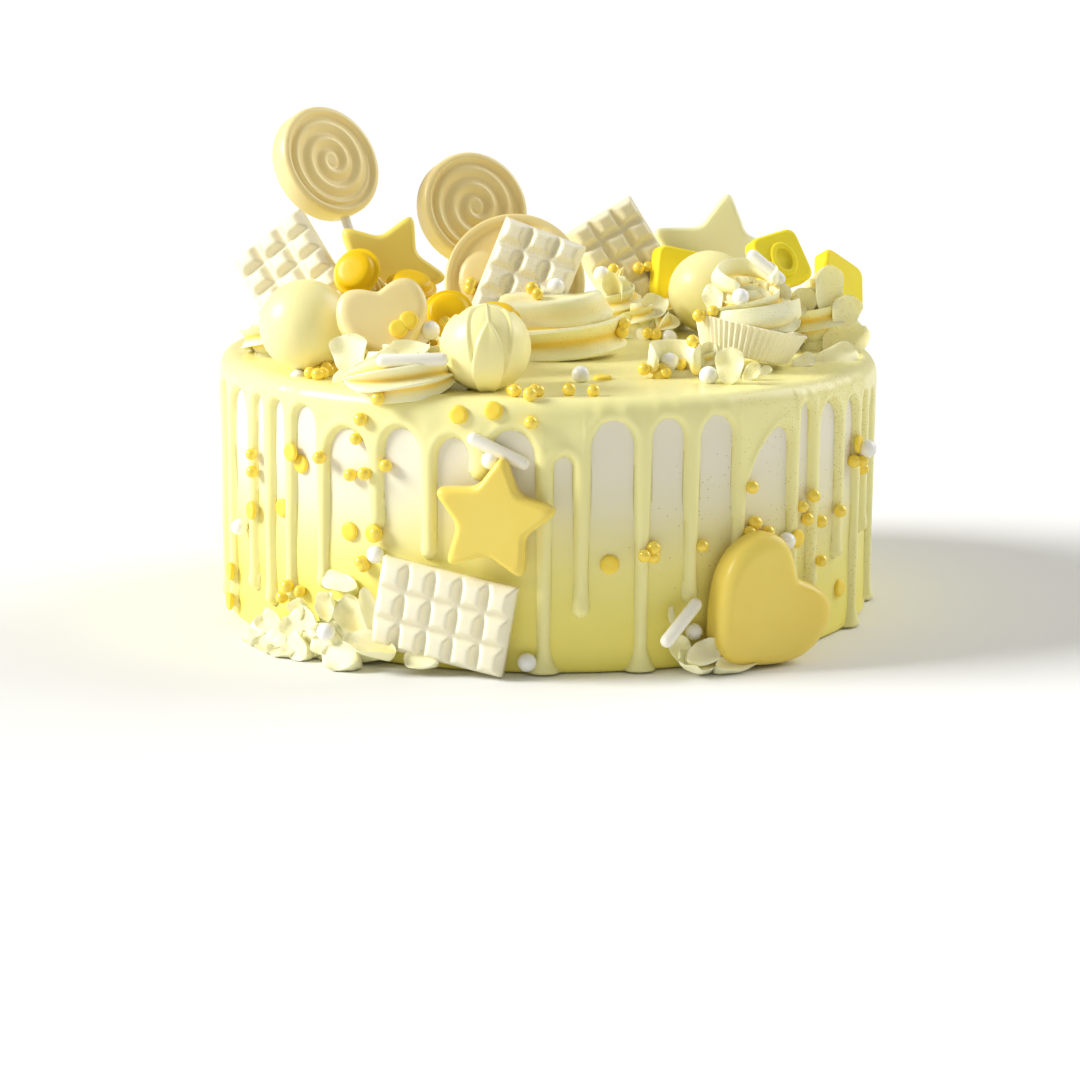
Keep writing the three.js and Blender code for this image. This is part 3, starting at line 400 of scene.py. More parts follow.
def add_skin(tree, shader, skin, bump):
    broad, fine, share = skin
    height = use(tree, SKIN, {"Broad scale": broad, "Fine scale": fine, "Fine share": share})
    raised = node(tree, "ShaderNodeBump", Strength=1.0, Distance=bump)
    tree.links.new(height.outputs["Height"], raised.inputs["Height"])
    tree.links.new(raised.outputs["Normal"], shader.inputs["Normal"])


# How far the coat's colours drift up and down, in metres, the heights between which they change, and
# the colours with their shares of that height
COAT_SWAY = 0.024
COAT_FADE = (0.012, 0.102)
COAT_COLOURS = [
    (0.0, (250, 236, 112)),
    (0.2, (248, 236, 122)),
    (0.36, (245, 235, 140)),
    (0.5, (243, 235, 174)),
    (0.6, (242, 236, 200)),
    (0.74, (242, 236, 214)),
]
COAT_SPECKS = linear(206, 184, 116)
COAT_DUST = {"Centre": (0.08, -0.07, 0.055), "Reach": 0.075, "Size": 1100.0, "Amount": 0.5}


def coat_finish():
    """Off-white cream that turns yellow from about half height down to the foot."""
    material, shader = new_finish("buttercream_coat", 0.5, 0.05, 0.1)
    tree = material.node_tree
    link = tree.links.new
    place = node(tree, "ShaderNodeTexCoord")
    drift = node(tree, "ShaderNodeTexNoise", Scale=14.0, Detail=2.0)
    parts = node(tree, "ShaderNodeSeparateXYZ")
    sway = node(tree, "ShaderNodeMath", {"operation": "MULTIPLY_ADD"})
    sway.inputs[1].default_value = COAT_SWAY
    level = node(tree, "ShaderNodeMapRange")
    level.inputs["From Min"].default_value = COAT_FADE[0]
    level.inputs["From Max"].default_value = COAT_FADE[1]
    ramp = node(tree, "ShaderNodeValToRGB")
    for i, (at, colour) in enumerate(COAT_COLOURS):
        stop = ramp.color_ramp.elements[i] if i < 2 else ramp.color_ramp.elements.new(at)
        stop.position = at
        stop.color = linear(*colour)
    link(place.outputs["Object"], drift.inputs["Vector"])
    link(place.outputs["Object"], parts.inputs["Vector"])
    link(drift.outputs["Fac"], sway.inputs[0])
    link(parts.outputs["Z"], sway.inputs[2])
    link(sway.outputs["Value"], level.inputs["Value"])
    link(level.outputs["Result"], ramp.inputs["Fac"])
    specks = use(tree, DUST, {"Speck colour": COAT_SPECKS, **COAT_DUST})
    link(ramp.outputs["Color"], specks.inputs["Colour"])
    link(specks.outputs["Colour"], shader.inputs["Base Color"])
    add_skin(tree, shader, (55.0, 500.0, 0.12), 0.0004)
    return material


# Where shimmer dust fell: its middle, how far it reaches, how fine it is and how much there is
RIGHT_SIDE = {"Centre": (0.095, -0.045, 0.065), "Reach": 0.075, "Size": 1400.0, "Amount": 1.5}
TOP_RIGHT = {"Centre": (0.06, -0.02, 0.1), "Reach": 0.075, "Size": 1700.0, "Amount": 0.45}
MIDDLE = {"Centre": (-0.008, -0.015, 0.11), "Reach": 0.045, "Size": 1600.0, "Amount": 0.8}

# Each finish: its name, its two colours, roughness, mottle, skin, depth of the skin and dust
FINISHES = {
    "coat": coat_finish(),
    "glaze": finish("white_chocolate_glaze", (250, 243, 172), (248, 239, 157), 0.32, (35.0, 0.5),
                    (60.0, 700.0, 0.08), 0.0003, RIGHT_SIDE, coat=0.08, subsurface=0.12, shine=0.4),
    # The cream's last colour is painted shade, the deeper yellow of its creases.
    "cream": finish("piped_buttercream", (255, 252, 212), (254, 249, 190), 0.55, (70.0, 0.7),
                    (140.0, 1500.0, 0.35), 0.00035, TOP_RIGHT, subsurface=0.2, crease_shade_colour=(250, 212, 58)),
    "pale_yellow": finish("pale_yellow_chocolate", (247, 223, 108), (242, 210, 86), 0.36, (50.0, 0.5),
                          (70.0, 1200.0, 0.1), 0.0002, coat=0.06, subsurface=0.12, shine=0.35),
    # A paler copy of the pale yellow chocolate: painted backlight for the star at the back.
    "painted_backlight_yellow": finish("painted_backlight_yellow_chocolate", (255, 250, 200), (255, 244, 178), 0.4, (45.0, 0.5),
                         (70.0, 1200.0, 0.1), 0.0002, coat=0.03, subsurface=0.25, shine=0.3),
    "soft_yellow": finish("soft_yellow_chocolate", (255, 245, 178), (253, 238, 158), 0.36, (45.0, 0.5),
                          (70.0, 1200.0, 0.1), 0.0002, coat=0.08, subsurface=0.2, shine=0.4),
    "ivory": finish("ivory_chocolate", (248, 229, 164), (243, 217, 144), 0.36, (60.0, 0.5),
                    (80.0, 1200.0, 0.15), 0.00025, coat=0.1, subsurface=0.12),
    "white": finish("white_chocolate", (250, 244, 216), (247, 239, 205), 0.4, (70.0, 0.4),
                    (120.0, 1400.0, 0.2), 0.0003, MIDDLE, coat=0.08, subsurface=0.12),
    # A darker copy of the white chocolate: painted shade for the bars at the left and the back.
    "painted_shade_white": finish("painted_shade_white_chocolate", (244, 236, 202), (239, 228, 188), 0.42, (70.0, 0.4),
                        (120.0, 1400.0, 0.2), 0.0003, coat=0.05, subsurface=0.12, shine=0.4),
    "bright_yellow": finish("bright_yellow_chocolate", (243, 202, 8), (237, 189, 3), 0.38, (60.0, 0.6),
                            (90.0, 1200.0, 0.12), 0.0002, coat=0.03, subsurface=0.1, shine=0.25),
    "tile_yellow": finish("yellow_tile_chocolate", (255, 236, 62), (255, 226, 40), 0.55, (60.0, 0.6),
                          (90.0, 1200.0, 0.12), 0.0002, coat=0.0, subsurface=0.15, shine=0.12),
    "stick": finish("rolled_paper", (247, 245, 240), (238, 235, 228), 0.8, (200.0, 0.4),
                    (400.0, 2500.0, 0.4), 0.0001),
    "gold_pearl": finish("gold_sugar_shell", (255, 228, 92), (253, 214, 62), 0.24, (500.0, 0.6),
                         (500.0, 3000.0, 0.2), 0.0001, coat=0.4),
    "disc": finish("yellow_sugar_disc", (254, 225, 78), (250, 212, 56), 0.45, (300.0, 0.6),
                   (300.0, 2000.0, 0.3), 0.00015),
    "white_pearl": finish("white_sugar_shell", (254, 254, 250), (246, 245, 238), 0.3, (300.0, 0.4),
                          (300.0, 2500.0, 0.15), 0.0001, coat=0.3, subsurface=0.1),
    "rod": finish("ivory_sugar_rod", (254, 251, 236), (248, 244, 222), 0.4, (300.0, 0.4),
                  (300.0, 2500.0, 0.2), 0.0001, coat=0.15, subsurface=0.1),
}
FINISHES["gold_pearl"].node_tree.nodes["Principled BSDF"].inputs["Metallic"].default_value = 0.12


# Places of the square frame

FRAME_PIXELS = 1080


def sight(x, y):
    """Where the camera stands and the way it looks at a place of the square frame."""
    scale = camera.data.sensor_width / camera.data.lens
    aim = Vector(((x / FRAME_PIXELS - 0.5) * scale, (0.5 - y / FRAME_PIXELS) * scale, -1))
    return camera.matrix_world.translation, (camera.matrix_world.to_3x3() @ aim).normalized()


def at_depth(x, y, depth):
    """Where the sight at a place of the frame is as far back as the given depth, in millimetres."""
    origin, aim = sight(x, y)
    origin = origin / MM
    return origin + aim * ((depth - origin.y) / aim.y)


def beside(x, y, away):
    """Where the sight at a place of the frame meets the air the given distance outside the coat."""
    origin, aim = sight(x, y)
    origin = origin / MM
    flat = aim.to_2d().length_squared
    toward = origin.to_2d().dot(aim.to_2d())
    beyond = origin.to_2d().length_squared - (CAKE_RADIUS + away) ** 2
    return origin - aim * (toward + math.sqrt(max(toward * toward - flat * beyond, 0))) / flat


# Making pieces

landings = []


def new_shape():
    bm = bmesh.new()
    bm.verts.layers.float.new("around")
    # The hollow layer holds painted shade: how strongly a crease gets a deeper yellow where shade falls in
    # it.
    bm.verts.layers.float.new("hollow")
    return bm


def skin(bm, count, stations, point_at, crease_shade_at=None):
    """A skin drawn by a ring of count points that runs through stations. Both ends are closed."""
    around, hollow = bm.verts.layers.float["around"], bm.verts.layers.float["hollow"]

    def put(v, station):
        v.co = point_at(v[around], station)
        # Each point keeps how much painted crease shade it gets in the hollow layer.
        v[hollow] = clamp(crease_shade_at(v[around], station)) if crease_shade_at else 0.0

    ring = bmesh.ops.create_circle(bm, segments=count, radius=1.0)["verts"]
    for v in ring:
        v[around] = math.atan2(v.co.y, v.co.x)
        put(v, stations[0])
    edges = once(e for v in ring for e in v.link_edges)
    first = list(edges)
    made = list(ring)
    for station in stations[1:]:
        grown = bmesh.ops.extrude_edge_only(bm, edges=edges)["geom"]
        verts = [g for g in grown if isinstance(g, bmesh.types.BMVert)]
        fresh = set(verts)
        edges = [g for g in grown if isinstance(g, bmesh.types.BMEdge)
                 and g.verts[0] in fresh and g.verts[1] in fresh]
        for v in verts:
            put(v, station)
        made += verts
    for loop in (first, edges):
        bmesh.ops.edgeloop_fill(bm, edges=loop)
    return made


def moved(bm, verts, place):
    bmesh.ops.transform(bm, matrix=place, verts=verts)


def piece(name, bm, finish_name, nodes=(), lands=True, sharp=None):
    """A piece of the cake from its shape in millimetres."""
    bmesh.ops.recalc_face_normals(bm, faces=bm.faces)
    bmesh.ops.scale(bm, vec=(MM, MM, MM), verts=bm.verts)
    if lands:
        landings.append(BVHTree.FromBMesh(bm))
    mesh = bpy.data.meshes.new(name)
    bm.to_mesh(mesh)
    bm.free()
    for polygon in mesh.polygons:
        polygon.use_smooth = True
    if sharp:
        mesh.set_sharp_from_angle(angle=math.radians(sharp))
    made = bpy.data.objects.new(name, mesh)
    bpy.context.scene.collection.objects.link(made)
    mesh.materials.append(FINISHES[finish_name])
    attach(made, "root")
    if nodes:
        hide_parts(*nodes)
    return made


# Places, in millimetres. A flat shape faces +Z where it is made; standing, it faces the front.

def turned_about(axis, degrees):
    return Matrix.Rotation(math.radians(degrees), 4, axis)


def standing(at, turn=0.0, lean=0.0, spin=0.0):
    return (Matrix.Translation(Vector(at)) @ turned_about("Z", turn) @ turned_about("X", 90 - lean)
            @ turned_about("Z", spin))


def side_point(turn, radius, height):
    angle = math.radians(turn)
    return Vector((radius * math.sin(angle), -radius * math.cos(angle), height))


def on_side(turn, radius, height, lean=0.0, spin=0.0, slide=0.0):
    at = side_point(turn, radius, height) + side_point(turn + 90, 1, 0) * slide
    return standing(at, turn, lean, spin)


def upright(at, tip=0.0, turn=0.0):
    return Matrix.Translation(Vector(at)) @ turned_about("Z", turn) @ turned_about("X", tip)


def polar(radius, angle, height):
    return Vector((radius * math.cos(angle), radius * math.sin(angle), height))


# The coat

# How far the coat rounds in at its foot, its rows and columns of points, the depth of the waves of
# its side, and the innermost radius of its flat faces
COAT_FOOT = 1.5
COAT_ROWS = 38
COAT_COLUMNS = 240
COAT_WAVE = 0.35
INNERMOST = 0.05


def coat_piece():
    rim, shoulder = CAKE_RADIUS - COAT_RIM, CAKE_HEIGHT - COAT_RIM
    profile = [(INNERMOST, 0.0), (60, 0.0), (CAKE_RADIUS - COAT_FOOT, 0.0), (CAKE_RADIUS - 0.5, 0.45)]
    profile += [(CAKE_RADIUS, lerp(COAT_FOOT, shoulder, i / COAT_ROWS)) for i in range(COAT_ROWS + 1)]
    profile += [(rim + COAT_RIM * math.cos(a), shoulder + COAT_RIM * math.sin(a))
                for a in (0.4, 0.8, 1.2, math.pi / 2)]
    profile += [(80, CAKE_HEIGHT), (INNERMOST, CAKE_HEIGHT)]

    def point_at(angle, station):
        radius, height = station
        point = polar(radius, angle, height)
        if radius > 100 and 3 < height < CAKE_HEIGHT:
            sweep = noise.noise(Vector((point.x * 0.012, point.y * 0.012, height * 0.05)))
            point -= polar(COAT_WAVE * (0.5 + sweep), angle, 0)
        return point

    bm = new_shape()
    skin(bm, COAT_COLUMNS, profile, point_at)
    return piece("buttercream_coat", bm, "coat", ["cake"])


# The glaze

# Drips of the hidden side: the share that reaches the base, and from where to where the lower ends,
# the arches and the steps in turn between them go
REACHES_BASE = 0.25
HIDDEN_FOOT = (8, 50)
HIDDEN_ARCH = (71, 79)
HIDDEN_STEP = (9, 14)


def all_drips():
    """All drips in the order of their turn: the front ones as given, the rest by a seeded rule."""
    drips = [{"turn": t, "foot": f, "arch": a, "slant": s} for t, f, a, s in FRONT_DRIPS]
    chance = seeded(11)
    last = 360 + FRONT_DRIPS[0][0]
    turn = FRONT_DRIPS[-1][0] + HIDDEN_STEP[0]
    while turn < last - 6:
        reaches_base = chance() < REACHES_BASE
        foot = 0 if reaches_base else lerp(*HIDDEN_FOOT, chance())
        drips.append({"turn": turn, "foot": foot, "arch": lerp(*HIDDEN_ARCH, chance()), "slant": 0})
        turn += lerp(*HIDDEN_STEP, chance())
    return drips


drips = all_drips()

# A drip whose foot is lower than this runs into a pool. Then come how much wider and thicker a pool
# makes a drip, how much wider a drip is at its top, and how much thicker at its bead
POOL_FOOT = 3
POOL_SPREAD = 3.2
POOL_SWELL = 2.2
TOP_SPREAD = 0.9
BEAD_SWELL = 0.45


def half_width(drip, height):
    """Half the width of a drip: it narrows downwards and swells to a bead or to a pool."""
    width = DRIP_HALF_WIDTH + TOP_SPREAD * clamp((height - 22) / 50) ** 1.5
    if drip["foot"] < POOL_FOOT:
        return width + POOL_SPREAD * clamp((POOL_HEIGHT - height) / POOL_HEIGHT) ** 2
    above = height - drip["foot"] - BEAD_HALF_WIDTH
    return width + (BEAD_HALF_WIDTH - DRIP_HALF_WIDTH) * math.exp(-(above / 4.5) ** 2)


def gap_at(turn):
    """The two drips beside a turn, and how far it is to each along the side."""
    for i, drip in enumerate(drips):
        following = drips[(i + 1) % len(drips)]
        span = (following["turn"] - drip["turn"] + 360) % 360
        past = (turn - drip["turn"] + 720) % 360
        if past < span:
            reach = math.radians(CAKE_RADIUS)
            return drip, following, past * reach, (span - past) * reach


# Half the width of the widest arch over a bare stretch of the coat, and an arch's height as a share
# of half its width
ARCH_HALF_WIDTH = 9.0
ARCH_RISE = 1.25


def glaze_edge(gap, height):
    """How far a point of the side lies inside the glaze, and its share of drip over curtain."""
    left, right, from_left, from_right = gap
    nearer, off = (left, from_left) if from_left < from_right else (right, from_right)
    wide_left, wide_right = half_width(left, height), half_width(right, height)
    span = from_left + from_right
    half_gap = max((span - wide_left - wide_right) / 2, 0.3)
    across = clamp((from_left - wide_left) / half_gap - 1, -1.6, 1.6)
    raised = height + left["slant"] * (1 - clamp(across, -1, 1)) / 2
    crown = left["arch"]
    arch = min(half_gap, ARCH_HALF_WIDTH)
    tall = arch * ARCH_RISE
    over = max(raised - (crown - tall), 0) / tall
    edge = (math.hypot(across, over) - 1) * arch
    if abs(across) > 1:
        edge = max(edge, half_width(nearer, height) - off)
    column = eased((crown - tall * 0.3 - raised + 6) / 12)
    foot = nearer["foot"]
    if foot >= POOL_FOOT and height < foot + BEAD_HALF_WIDTH:
        end = BEAD_HALF_WIDTH - math.hypot(off, foot + BEAD_HALF_WIDTH - height)
        edge = min(edge, end)
    return edge, column, nearer, off


# How thick the lip along the glaze's edge and the ridge down from each drip's top are, and how far
# in from its edge the curtain of glaze is rounded
LIP = 0.55
RIDGE = 0.55
CURTAIN_ROUND = 1.7


def glaze_thickness(turn, height, gap):
    edge, column, drip, off = glaze_edge(gap, height)
    if edge < 0:
        return max(1.3 * edge, GLAZE_BURIED - GLAZE_SEAT)
    wide = half_width(drip, height)
    round_drip = math.sqrt(1 - (1 - min(edge / wide, 1)) ** 2)
    round_curtain = math.sqrt(1 - (1 - min(edge / CURTAIN_ROUND, 1)) ** 2)
    body = DRIP_THICKNESS
    if drip["foot"] < POOL_FOOT:
        body += POOL_SWELL * clamp((POOL_HEIGHT * 0.8 - height) / POOL_HEIGHT) ** 1.5
    else:
        body += BEAD_SWELL * math.exp(-((height - drip["foot"] - 2.6) / 2.8) ** 2)
    lip = LIP * math.exp(-((edge - 1.5) / 1.3) ** 2)
    ridge = RIDGE * math.exp(-(off / 3.2) ** 2) * eased((84 - height) / 10)
    curtain = (CURTAIN_THICKNESS + lip + ridge) * round_curtain
    spread = 1 + 0.1 * noise.noise(side_point(turn, 6, height * 0.05))
    return lerp(curtain, body * round_drip, column) * spread


# Points round the glaze, rows down its side and over its edge, and the rings of its flat top
GLAZE_COLUMNS = 1320
SIDE_ROWS = 108
ARC_ROWS = 7
TOP_RINGS = (103.0, 96.0, 84.0, 66.0, 40.0, 12.0)
# The height of its lowest row, and where its hidden inner face runs over the edge and the top
GLAZE_FOOT = 0.4
INNER_RIM = 3.6
INNER_TOP = CAKE_HEIGHT - 0.4


def glaze_piece():
    """One closed sheet. Down the side its thickness follows the drips, and bare stretches are cut out."""
    low, high = GLAZE_FOOT, RIM_CENTRE[1]
    buried = GLAZE_BURIED - GLAZE_SEAT
    rows = SIDE_ROWS + 1 + ARC_ROWS + len(TOP_RINGS)
    bm = bmesh.new()
    bmesh.ops.create_grid(bm, x_segments=GLAZE_COLUMNS, y_segments=rows - 1, size=1.0)
    gaps = [gap_at(360 * c / GLAZE_COLUMNS) for c in range(GLAZE_COLUMNS)]
    bare, inner = set(), {}
    for v in bm.verts:
        column = round((v.co.x + 1) / 2 * GLAZE_COLUMNS)
        row = round((v.co.y + 1) / 2 * (rows - 1))
        turn = 360 * (column % GLAZE_COLUMNS) / GLAZE_COLUMNS
        gap = gaps[column % GLAZE_COLUMNS]
        if row <= SIDE_ROWS:
            height = low + (high - low) * max(row - 1, 0) / (SIDE_ROWS - 1)
            thick = glaze_thickness(turn, height, gap) if row else buried
            if thick <= buried + 1e-6:
                bare.add(v)
            v.co = side_point(turn, GLAZE_SEAT + thick, height)
            inner[v] = side_point(turn, GLAZE_BURIED, height)
        elif row <= SIDE_ROWS + ARC_ROWS:
            rise = (row - SIDE_ROWS) / ARC_ROWS
            thick = lerp(glaze_thickness(turn, high, gap), CURTAIN_THICKNESS, eased(rise))
            reach = GLAZE_SEAT - RIM_CENTRE[0] + thick
            angle = rise * math.pi / 2
            v.co = side_point(turn, RIM_CENTRE[0] + reach * math.cos(angle), high + reach * math.sin(angle))
            inner[v] = side_point(turn, RIM_CENTRE[0] + INNER_RIM * math.cos(angle),
                                  high + INNER_RIM * math.sin(angle))
        else:
            radius = TOP_RINGS[row - SIDE_ROWS - ARC_ROWS - 1]
            level = GLAZE_TOP + 0.12 * noise.noise(side_point(turn, radius * 0.03, 4.0))
            v.co = side_point(turn, radius, level)
            inner[v] = side_point(turn, radius, INNER_TOP)
    cut_out = [f for f in bm.faces if all(v in bare for v in f.verts)]
    bmesh.ops.delete(bm, geom=cut_out, context="FACES")
    for v in bm.verts:
        if v in bare:
            v.co = inner[v]
    outer = list(bm.faces)
    copied = bmesh.ops.duplicate(bm, geom=list(bm.verts) + list(bm.edges) + outer)
    mapping = copied["vert_map"]
    for v, place in list(inner.items()):
        if v.is_valid:
            mapping[v].co = place
    back_faces = [g for g in copied["geom"] if isinstance(g, bmesh.types.BMFace)]
    bmesh.ops.reverse_faces(bm, faces=back_faces)
    back_verts = once(v for f in back_faces for v in f.verts if not v.is_boundary)
    back_edges = once(e for f in back_faces for e in f.edges if not e.is_boundary)
    bmesh.ops.dissolve_limit(bm, angle_limit=0.03, verts=back_verts, edges=back_edges)
    bmesh.ops.remove_doubles(bm, verts=bm.verts, dist=0.002)
    for level in (GLAZE_TOP, INNER_TOP):
        hub = [v for v in bm.verts
               if v.co.to_2d().length < TOP_RINGS[-1] + 0.01 and abs(v.co.z - level) < 0.2]
        edges = once(e for v in hub for e in v.link_edges if e.is_boundary)
        bmesh.ops.edgeloop_fill(bm, edges=edges)
    shown = [v for v in bm.verts if v.co.to_2d().length > GLAZE_SEAT - 0.2 and v.co.z < 80]
    bmesh.ops.smooth_vert(bm, verts=shown, factor=0.25, use_axis_x=True, use_axis_y=True, use_axis_z=True)
    return piece("glaze_with_drips", bm, "glaze", ["glaze"])


# Moulded sweets

def rounded(corners, cuts, steps=7):
    """Points along an outline whose corners, [x, y], are rounded over the length in cuts."""
    points = []
    for i, (corner, cut) in enumerate(zip(corners, cuts)):
        here = Vector(corner)
        before = here + (Vector(corners[i - 1]) - here).normalized() * cut
        after = here + (Vector(corners[(i + 1) % len(corners)]) - here).normalized() * cut
        for step in range(steps):
            t = step / (steps - 1)
            points.append(before.lerp(here, t).lerp(here.lerp(after, t), t))
    return points


def bezier(a, b, c, d, steps):
    """Points from a towards d along a curve with two handles, without the last."""
    for i in range(steps):
        t = i / steps
        k = ((1 - t) ** 3, 3 * t * (1 - t) ** 2, 3 * t * t * (1 - t), t ** 3)
        yield Vector(sum(w * p[axis] for w, p in zip(k, (a, b, c, d))) for axis in (0, 1))


def moulded(points, thickness, bevel):
    """A sweet from a mould: its outline and a soft edge of the width of bevel round a flat face."""
    half = thickness / 2
    inner = min(p.length for p in points)
    stations = [(0.004, -half), (0.5, -half)]
    stations += [(1 - (bevel * 0.35 / inner) * (1 - math.sin(a)), -half + bevel * 0.35 * (1 - math.cos(a)))
                 for a in (0.0, 0.5, 1.0, 1.57)]
    stations += [(1 - (bevel / inner) * (1 - math.cos(a)), half - bevel * (1 - math.sin(a)))
                 for a in (0.0, 0.2, 0.4, 0.6, 0.8, 1.0, 1.2, 1.4, 1.57)]
    face = 1 - bevel / inner
    stations += [(face * share, half) for share in (0.97, 0.8, 0.4, 0.006)]
    bm = new_shape()

    def point_at(angle, station):
        share, height = station
        point = points[round((angle / TURN - 0.25) * len(points)) % len(points)]
        return Vector((point.x * share, point.y * share, height))

    skin(bm, len(points), stations, point_at)
    return bm


def star_shape(radius, notch, thickness, bevel=2.2):
    corners, cuts = [], []
    for i in range(10):
        angle = math.radians(90 + 36 * i)
        tip = 5.4 if radius > 22 else 4.6
        reach = radius * notch if i % 2 else radius + 0.4 * tip
        corners.append((reach * math.cos(angle), reach * math.sin(angle)))
        cuts.append(3.0 if i % 2 else tip)
    return moulded(rounded(corners, cuts), thickness, bevel)


def heart_shape(width, height, thickness, bevel):
    w, h = width / 2, height / 2
    right = [
        ((0, 0.8), (0.12, 0.82), (0.3, 1), (0.56, 1)),
        ((0.56, 1), (0.86, 1), (1, 0.65), (1, 0.32)),
        ((1, 0.32), (1, -0.2), (0.5, -0.62), (0.26, -0.87)),
        ((0.26, -0.87), (0.09, -1.01), (-0.09, -1.01), (-0.26, -0.87)),
    ]
    left = [tuple((-x, y) for x, y in reversed(curve)) for curve in reversed(right[:3])]
    points = [Vector((p.x * w, p.y * h)) for curve in right + left for p in bezier(*curve, 12)]
    return moulded(points, thickness, bevel)


def bar_shape():
    """A bar of small square pillows with soft sides on a flat base."""
    length, width = BAR["length"] + 0.8, BAR["width"] + 0.8
    columns, rows = BAR["columns"], BAR["rows"]
    fine = 13
    bm = new_shape()
    grid = bmesh.ops.create_grid(bm, x_segments=columns * fine, y_segments=rows * fine, size=0.5)["verts"]

    def pillow(share, count):
        part = (share + 0.5) * count
        to_groove = min(part % 1, 1 - part % 1)
        return eased((to_groove - 0.02) / 0.26)

    for v in grid:
        x, y = v.co.x, v.co.y
        high = BAR["relief"] * min(pillow(x, columns), pillow(y, rows)) ** 0.9
        sag = 0.35 * max(0, 1 - high / BAR["relief"])
        edge = min(0.5 - abs(x), (0.5 - abs(y)) * width / length) * length
        round_off = 0.6 * (1 - clamp(edge / 0.9)) ** 2
        v.co = Vector((x * length, y * width, BAR["base"] / 2 + high - sag - round_off))
    rim = [e for e in bm.edges if e.is_boundary]
    grown = bmesh.ops.extrude_edge_only(bm, edges=rim)["geom"]
    lower = [g for g in grown if isinstance(g, bmesh.types.BMVert)]
    for v in lower:
        v.co.z = -BAR["base"] / 2
    bmesh.ops.edgeloop_fill(bm, edges=[e for e in bm.edges if e.is_boundary])
    return bm


def tile_shape(ringed):
    half = TILE["side"] / 2
    corners = [(half, half), (-half, half), (-half, -half), (half, -half)]
    bm = moulded(rounded(corners, [TILE["corner"]] * 4, 10), TILE["thickness"], TILE["bevel"])
    if ringed:
        def loop(angle, station):
            thick = 0.95
            reach = 4 + thick * math.cos(station)
            return Vector((reach * math.cos(angle), 1.25 * reach * math.sin(angle) - 0.5,
                           TILE["thickness"] / 2 + 0.3 + 0.8 * thick * math.sin(station)))
        skin(bm, 40, [math.pi * 1.1 - 1.4 * math.pi * i / 10 for i in range(11)], loop)
    return bm


def disc_stations(radius, half, rim, rows):
    """Stations of a disc from the middle of its back, round its edge, to the middle of its face."""
    back = [(radius * share, -half) for share in (0.002, 0.5, 0.85)]
    edge = [(radius - rim + rim * math.cos(a), -half + rim + rim * math.sin(a))
            for a in (-1.4, -1.0, -0.6, -0.2)]
    edge += [(radius - rim + rim * math.cos(a), half - rim + rim * math.sin(a))
             for a in (0.2, 0.6, 1.0, 1.35)]
    face = [(radius * share, half) for share in (0.995 - rim / radius - i * (0.993 - rim / radius) / rows
                                                 for i in range(rows + 1))]
    return back + edge + face


def lolly_shape():
    """A thick disc with a raised spiral on its face, inside a round rim."""
    half = LOLLY_THICKNESS / 2
    inner, pitch = 15.4, 5.7

    def point_at(angle, station):
        radius, height = station
        if height == half and radius < LOLLY_RADIUS - 1.0:
            inward = clamp((LOLLY_RADIUS - 2.0 - radius) / 1.6)
            phase = (radius - 0.4) / pitch - angle / TURN
            wave = 0.5 + 0.5 * math.cos(TURN * phase)
            rope = 1.3 * lerp(0.8, wave ** 0.8, eased((radius - 1.6) / 1.6))
            keep = eased((inner - radius) / 1.2 + 0.5)
            height = half - 1.4 * eased(inward) + rope * keep
        return polar(radius, angle, height)

    bm = new_shape()
    skin(bm, 120, disc_stations(LOLLY_RADIUS, half, 1.8, 46), point_at)
    return bm


def medallion_shape():
    """A flat disc with a raised rim and three soft lobes on its face."""
    half = MEDALLION_THICKNESS / 2
    lobes = [(-11, 1, 8, 9.5, 2.6), (6.5, 9.5, 11.5, 9, 3), (4.5, -9.5, 10, 9, 2.6)]

    def point_at(angle, station):
        radius, height = station
        point = polar(radius, angle, height)
        if height == half:
            floor = half - 1.2 * eased((MEDALLION_RADIUS - 2.2 - radius) / 1.6)
            rise = 0.0
            for x, y, wide, tall, high in lobes:
                off = math.hypot((point.x - x) / wide, (point.y - y) / tall)
                rise = max(rise, high * math.sqrt(max(0, 1 - min(off, 1) ** 2.6)))
            point.z = floor + rise
        return point

    bm = new_shape()
    skin(bm, 144, disc_stations(MEDALLION_RADIUS, half, 1.0, 40), point_at)
    return bm


def melt_shape():
    """A round sweet with a thin lip and a low dome."""
    radius, thick = MELT["radius"], MELT["thickness"]
    lip = [(0.5, 0), (0.1, 0.3), (0, 0.7), (0.2, 1.15), (0.7, 1.3), (1.2, 1.35)]
    dome = [(1.7, 1.9), (2.0, 2.8), (2.4, 3.5), (3.2, 3.95)]
    profile = [(0.05, 0), (5, 0), *((radius - inward, height) for inward, height in lip + dome),
               (3.2, thick), (0.05, thick)]
    bm = new_shape()
    skin(bm, 48, profile, lambda angle, s: polar(s[0], angle, s[1]))
    return bm


def truffle_shape():
    """A ball wrapped in pointed petals that overlap and close towards its top."""
    petals = [(5, 1.7, 45, 25), (-50, 0.9, 72, 36), (64, 1.0, 66, 36), (180, 0.9, 72, 46),
              (122, 1.5, 48, 28), (-116, 1.5, 44, 32)]

    def proud(turn, latitude):
        best = 0.0
        narrowing = math.cos(math.radians(latitude))
        for middle, high, crown, broad in petals:
            rise = clamp((latitude + 84) / (crown + 84))
            half = broad * (1 - rise ** 3) ** 0.8
            off = abs((turn - middle + 540) % 360 - 180)
            inside = (half - off) * narrowing * math.radians(TRUFFLE_RADIUS)
            edge = eased(inside / 0.8 + 0.4)
            fall = 0.5 * high * math.exp(-max(inside, 0) / 2.4)
            best = max(best, (0.5 * high + fall) * edge)
        return best

    def point_at(angle, latitude):
        turn = math.degrees(angle) + 90
        reach = TRUFFLE_RADIUS - 0.2 + proud(turn, latitude)
        across = math.radians(latitude)
        return polar(reach * math.cos(across), angle, reach * math.sin(across))

    bm = new_shape()
    rows = 84
    skin(bm, 200, [lerp(-89.5, 89.5, i / rows) for i in range(rows + 1)], point_at)
    return bm


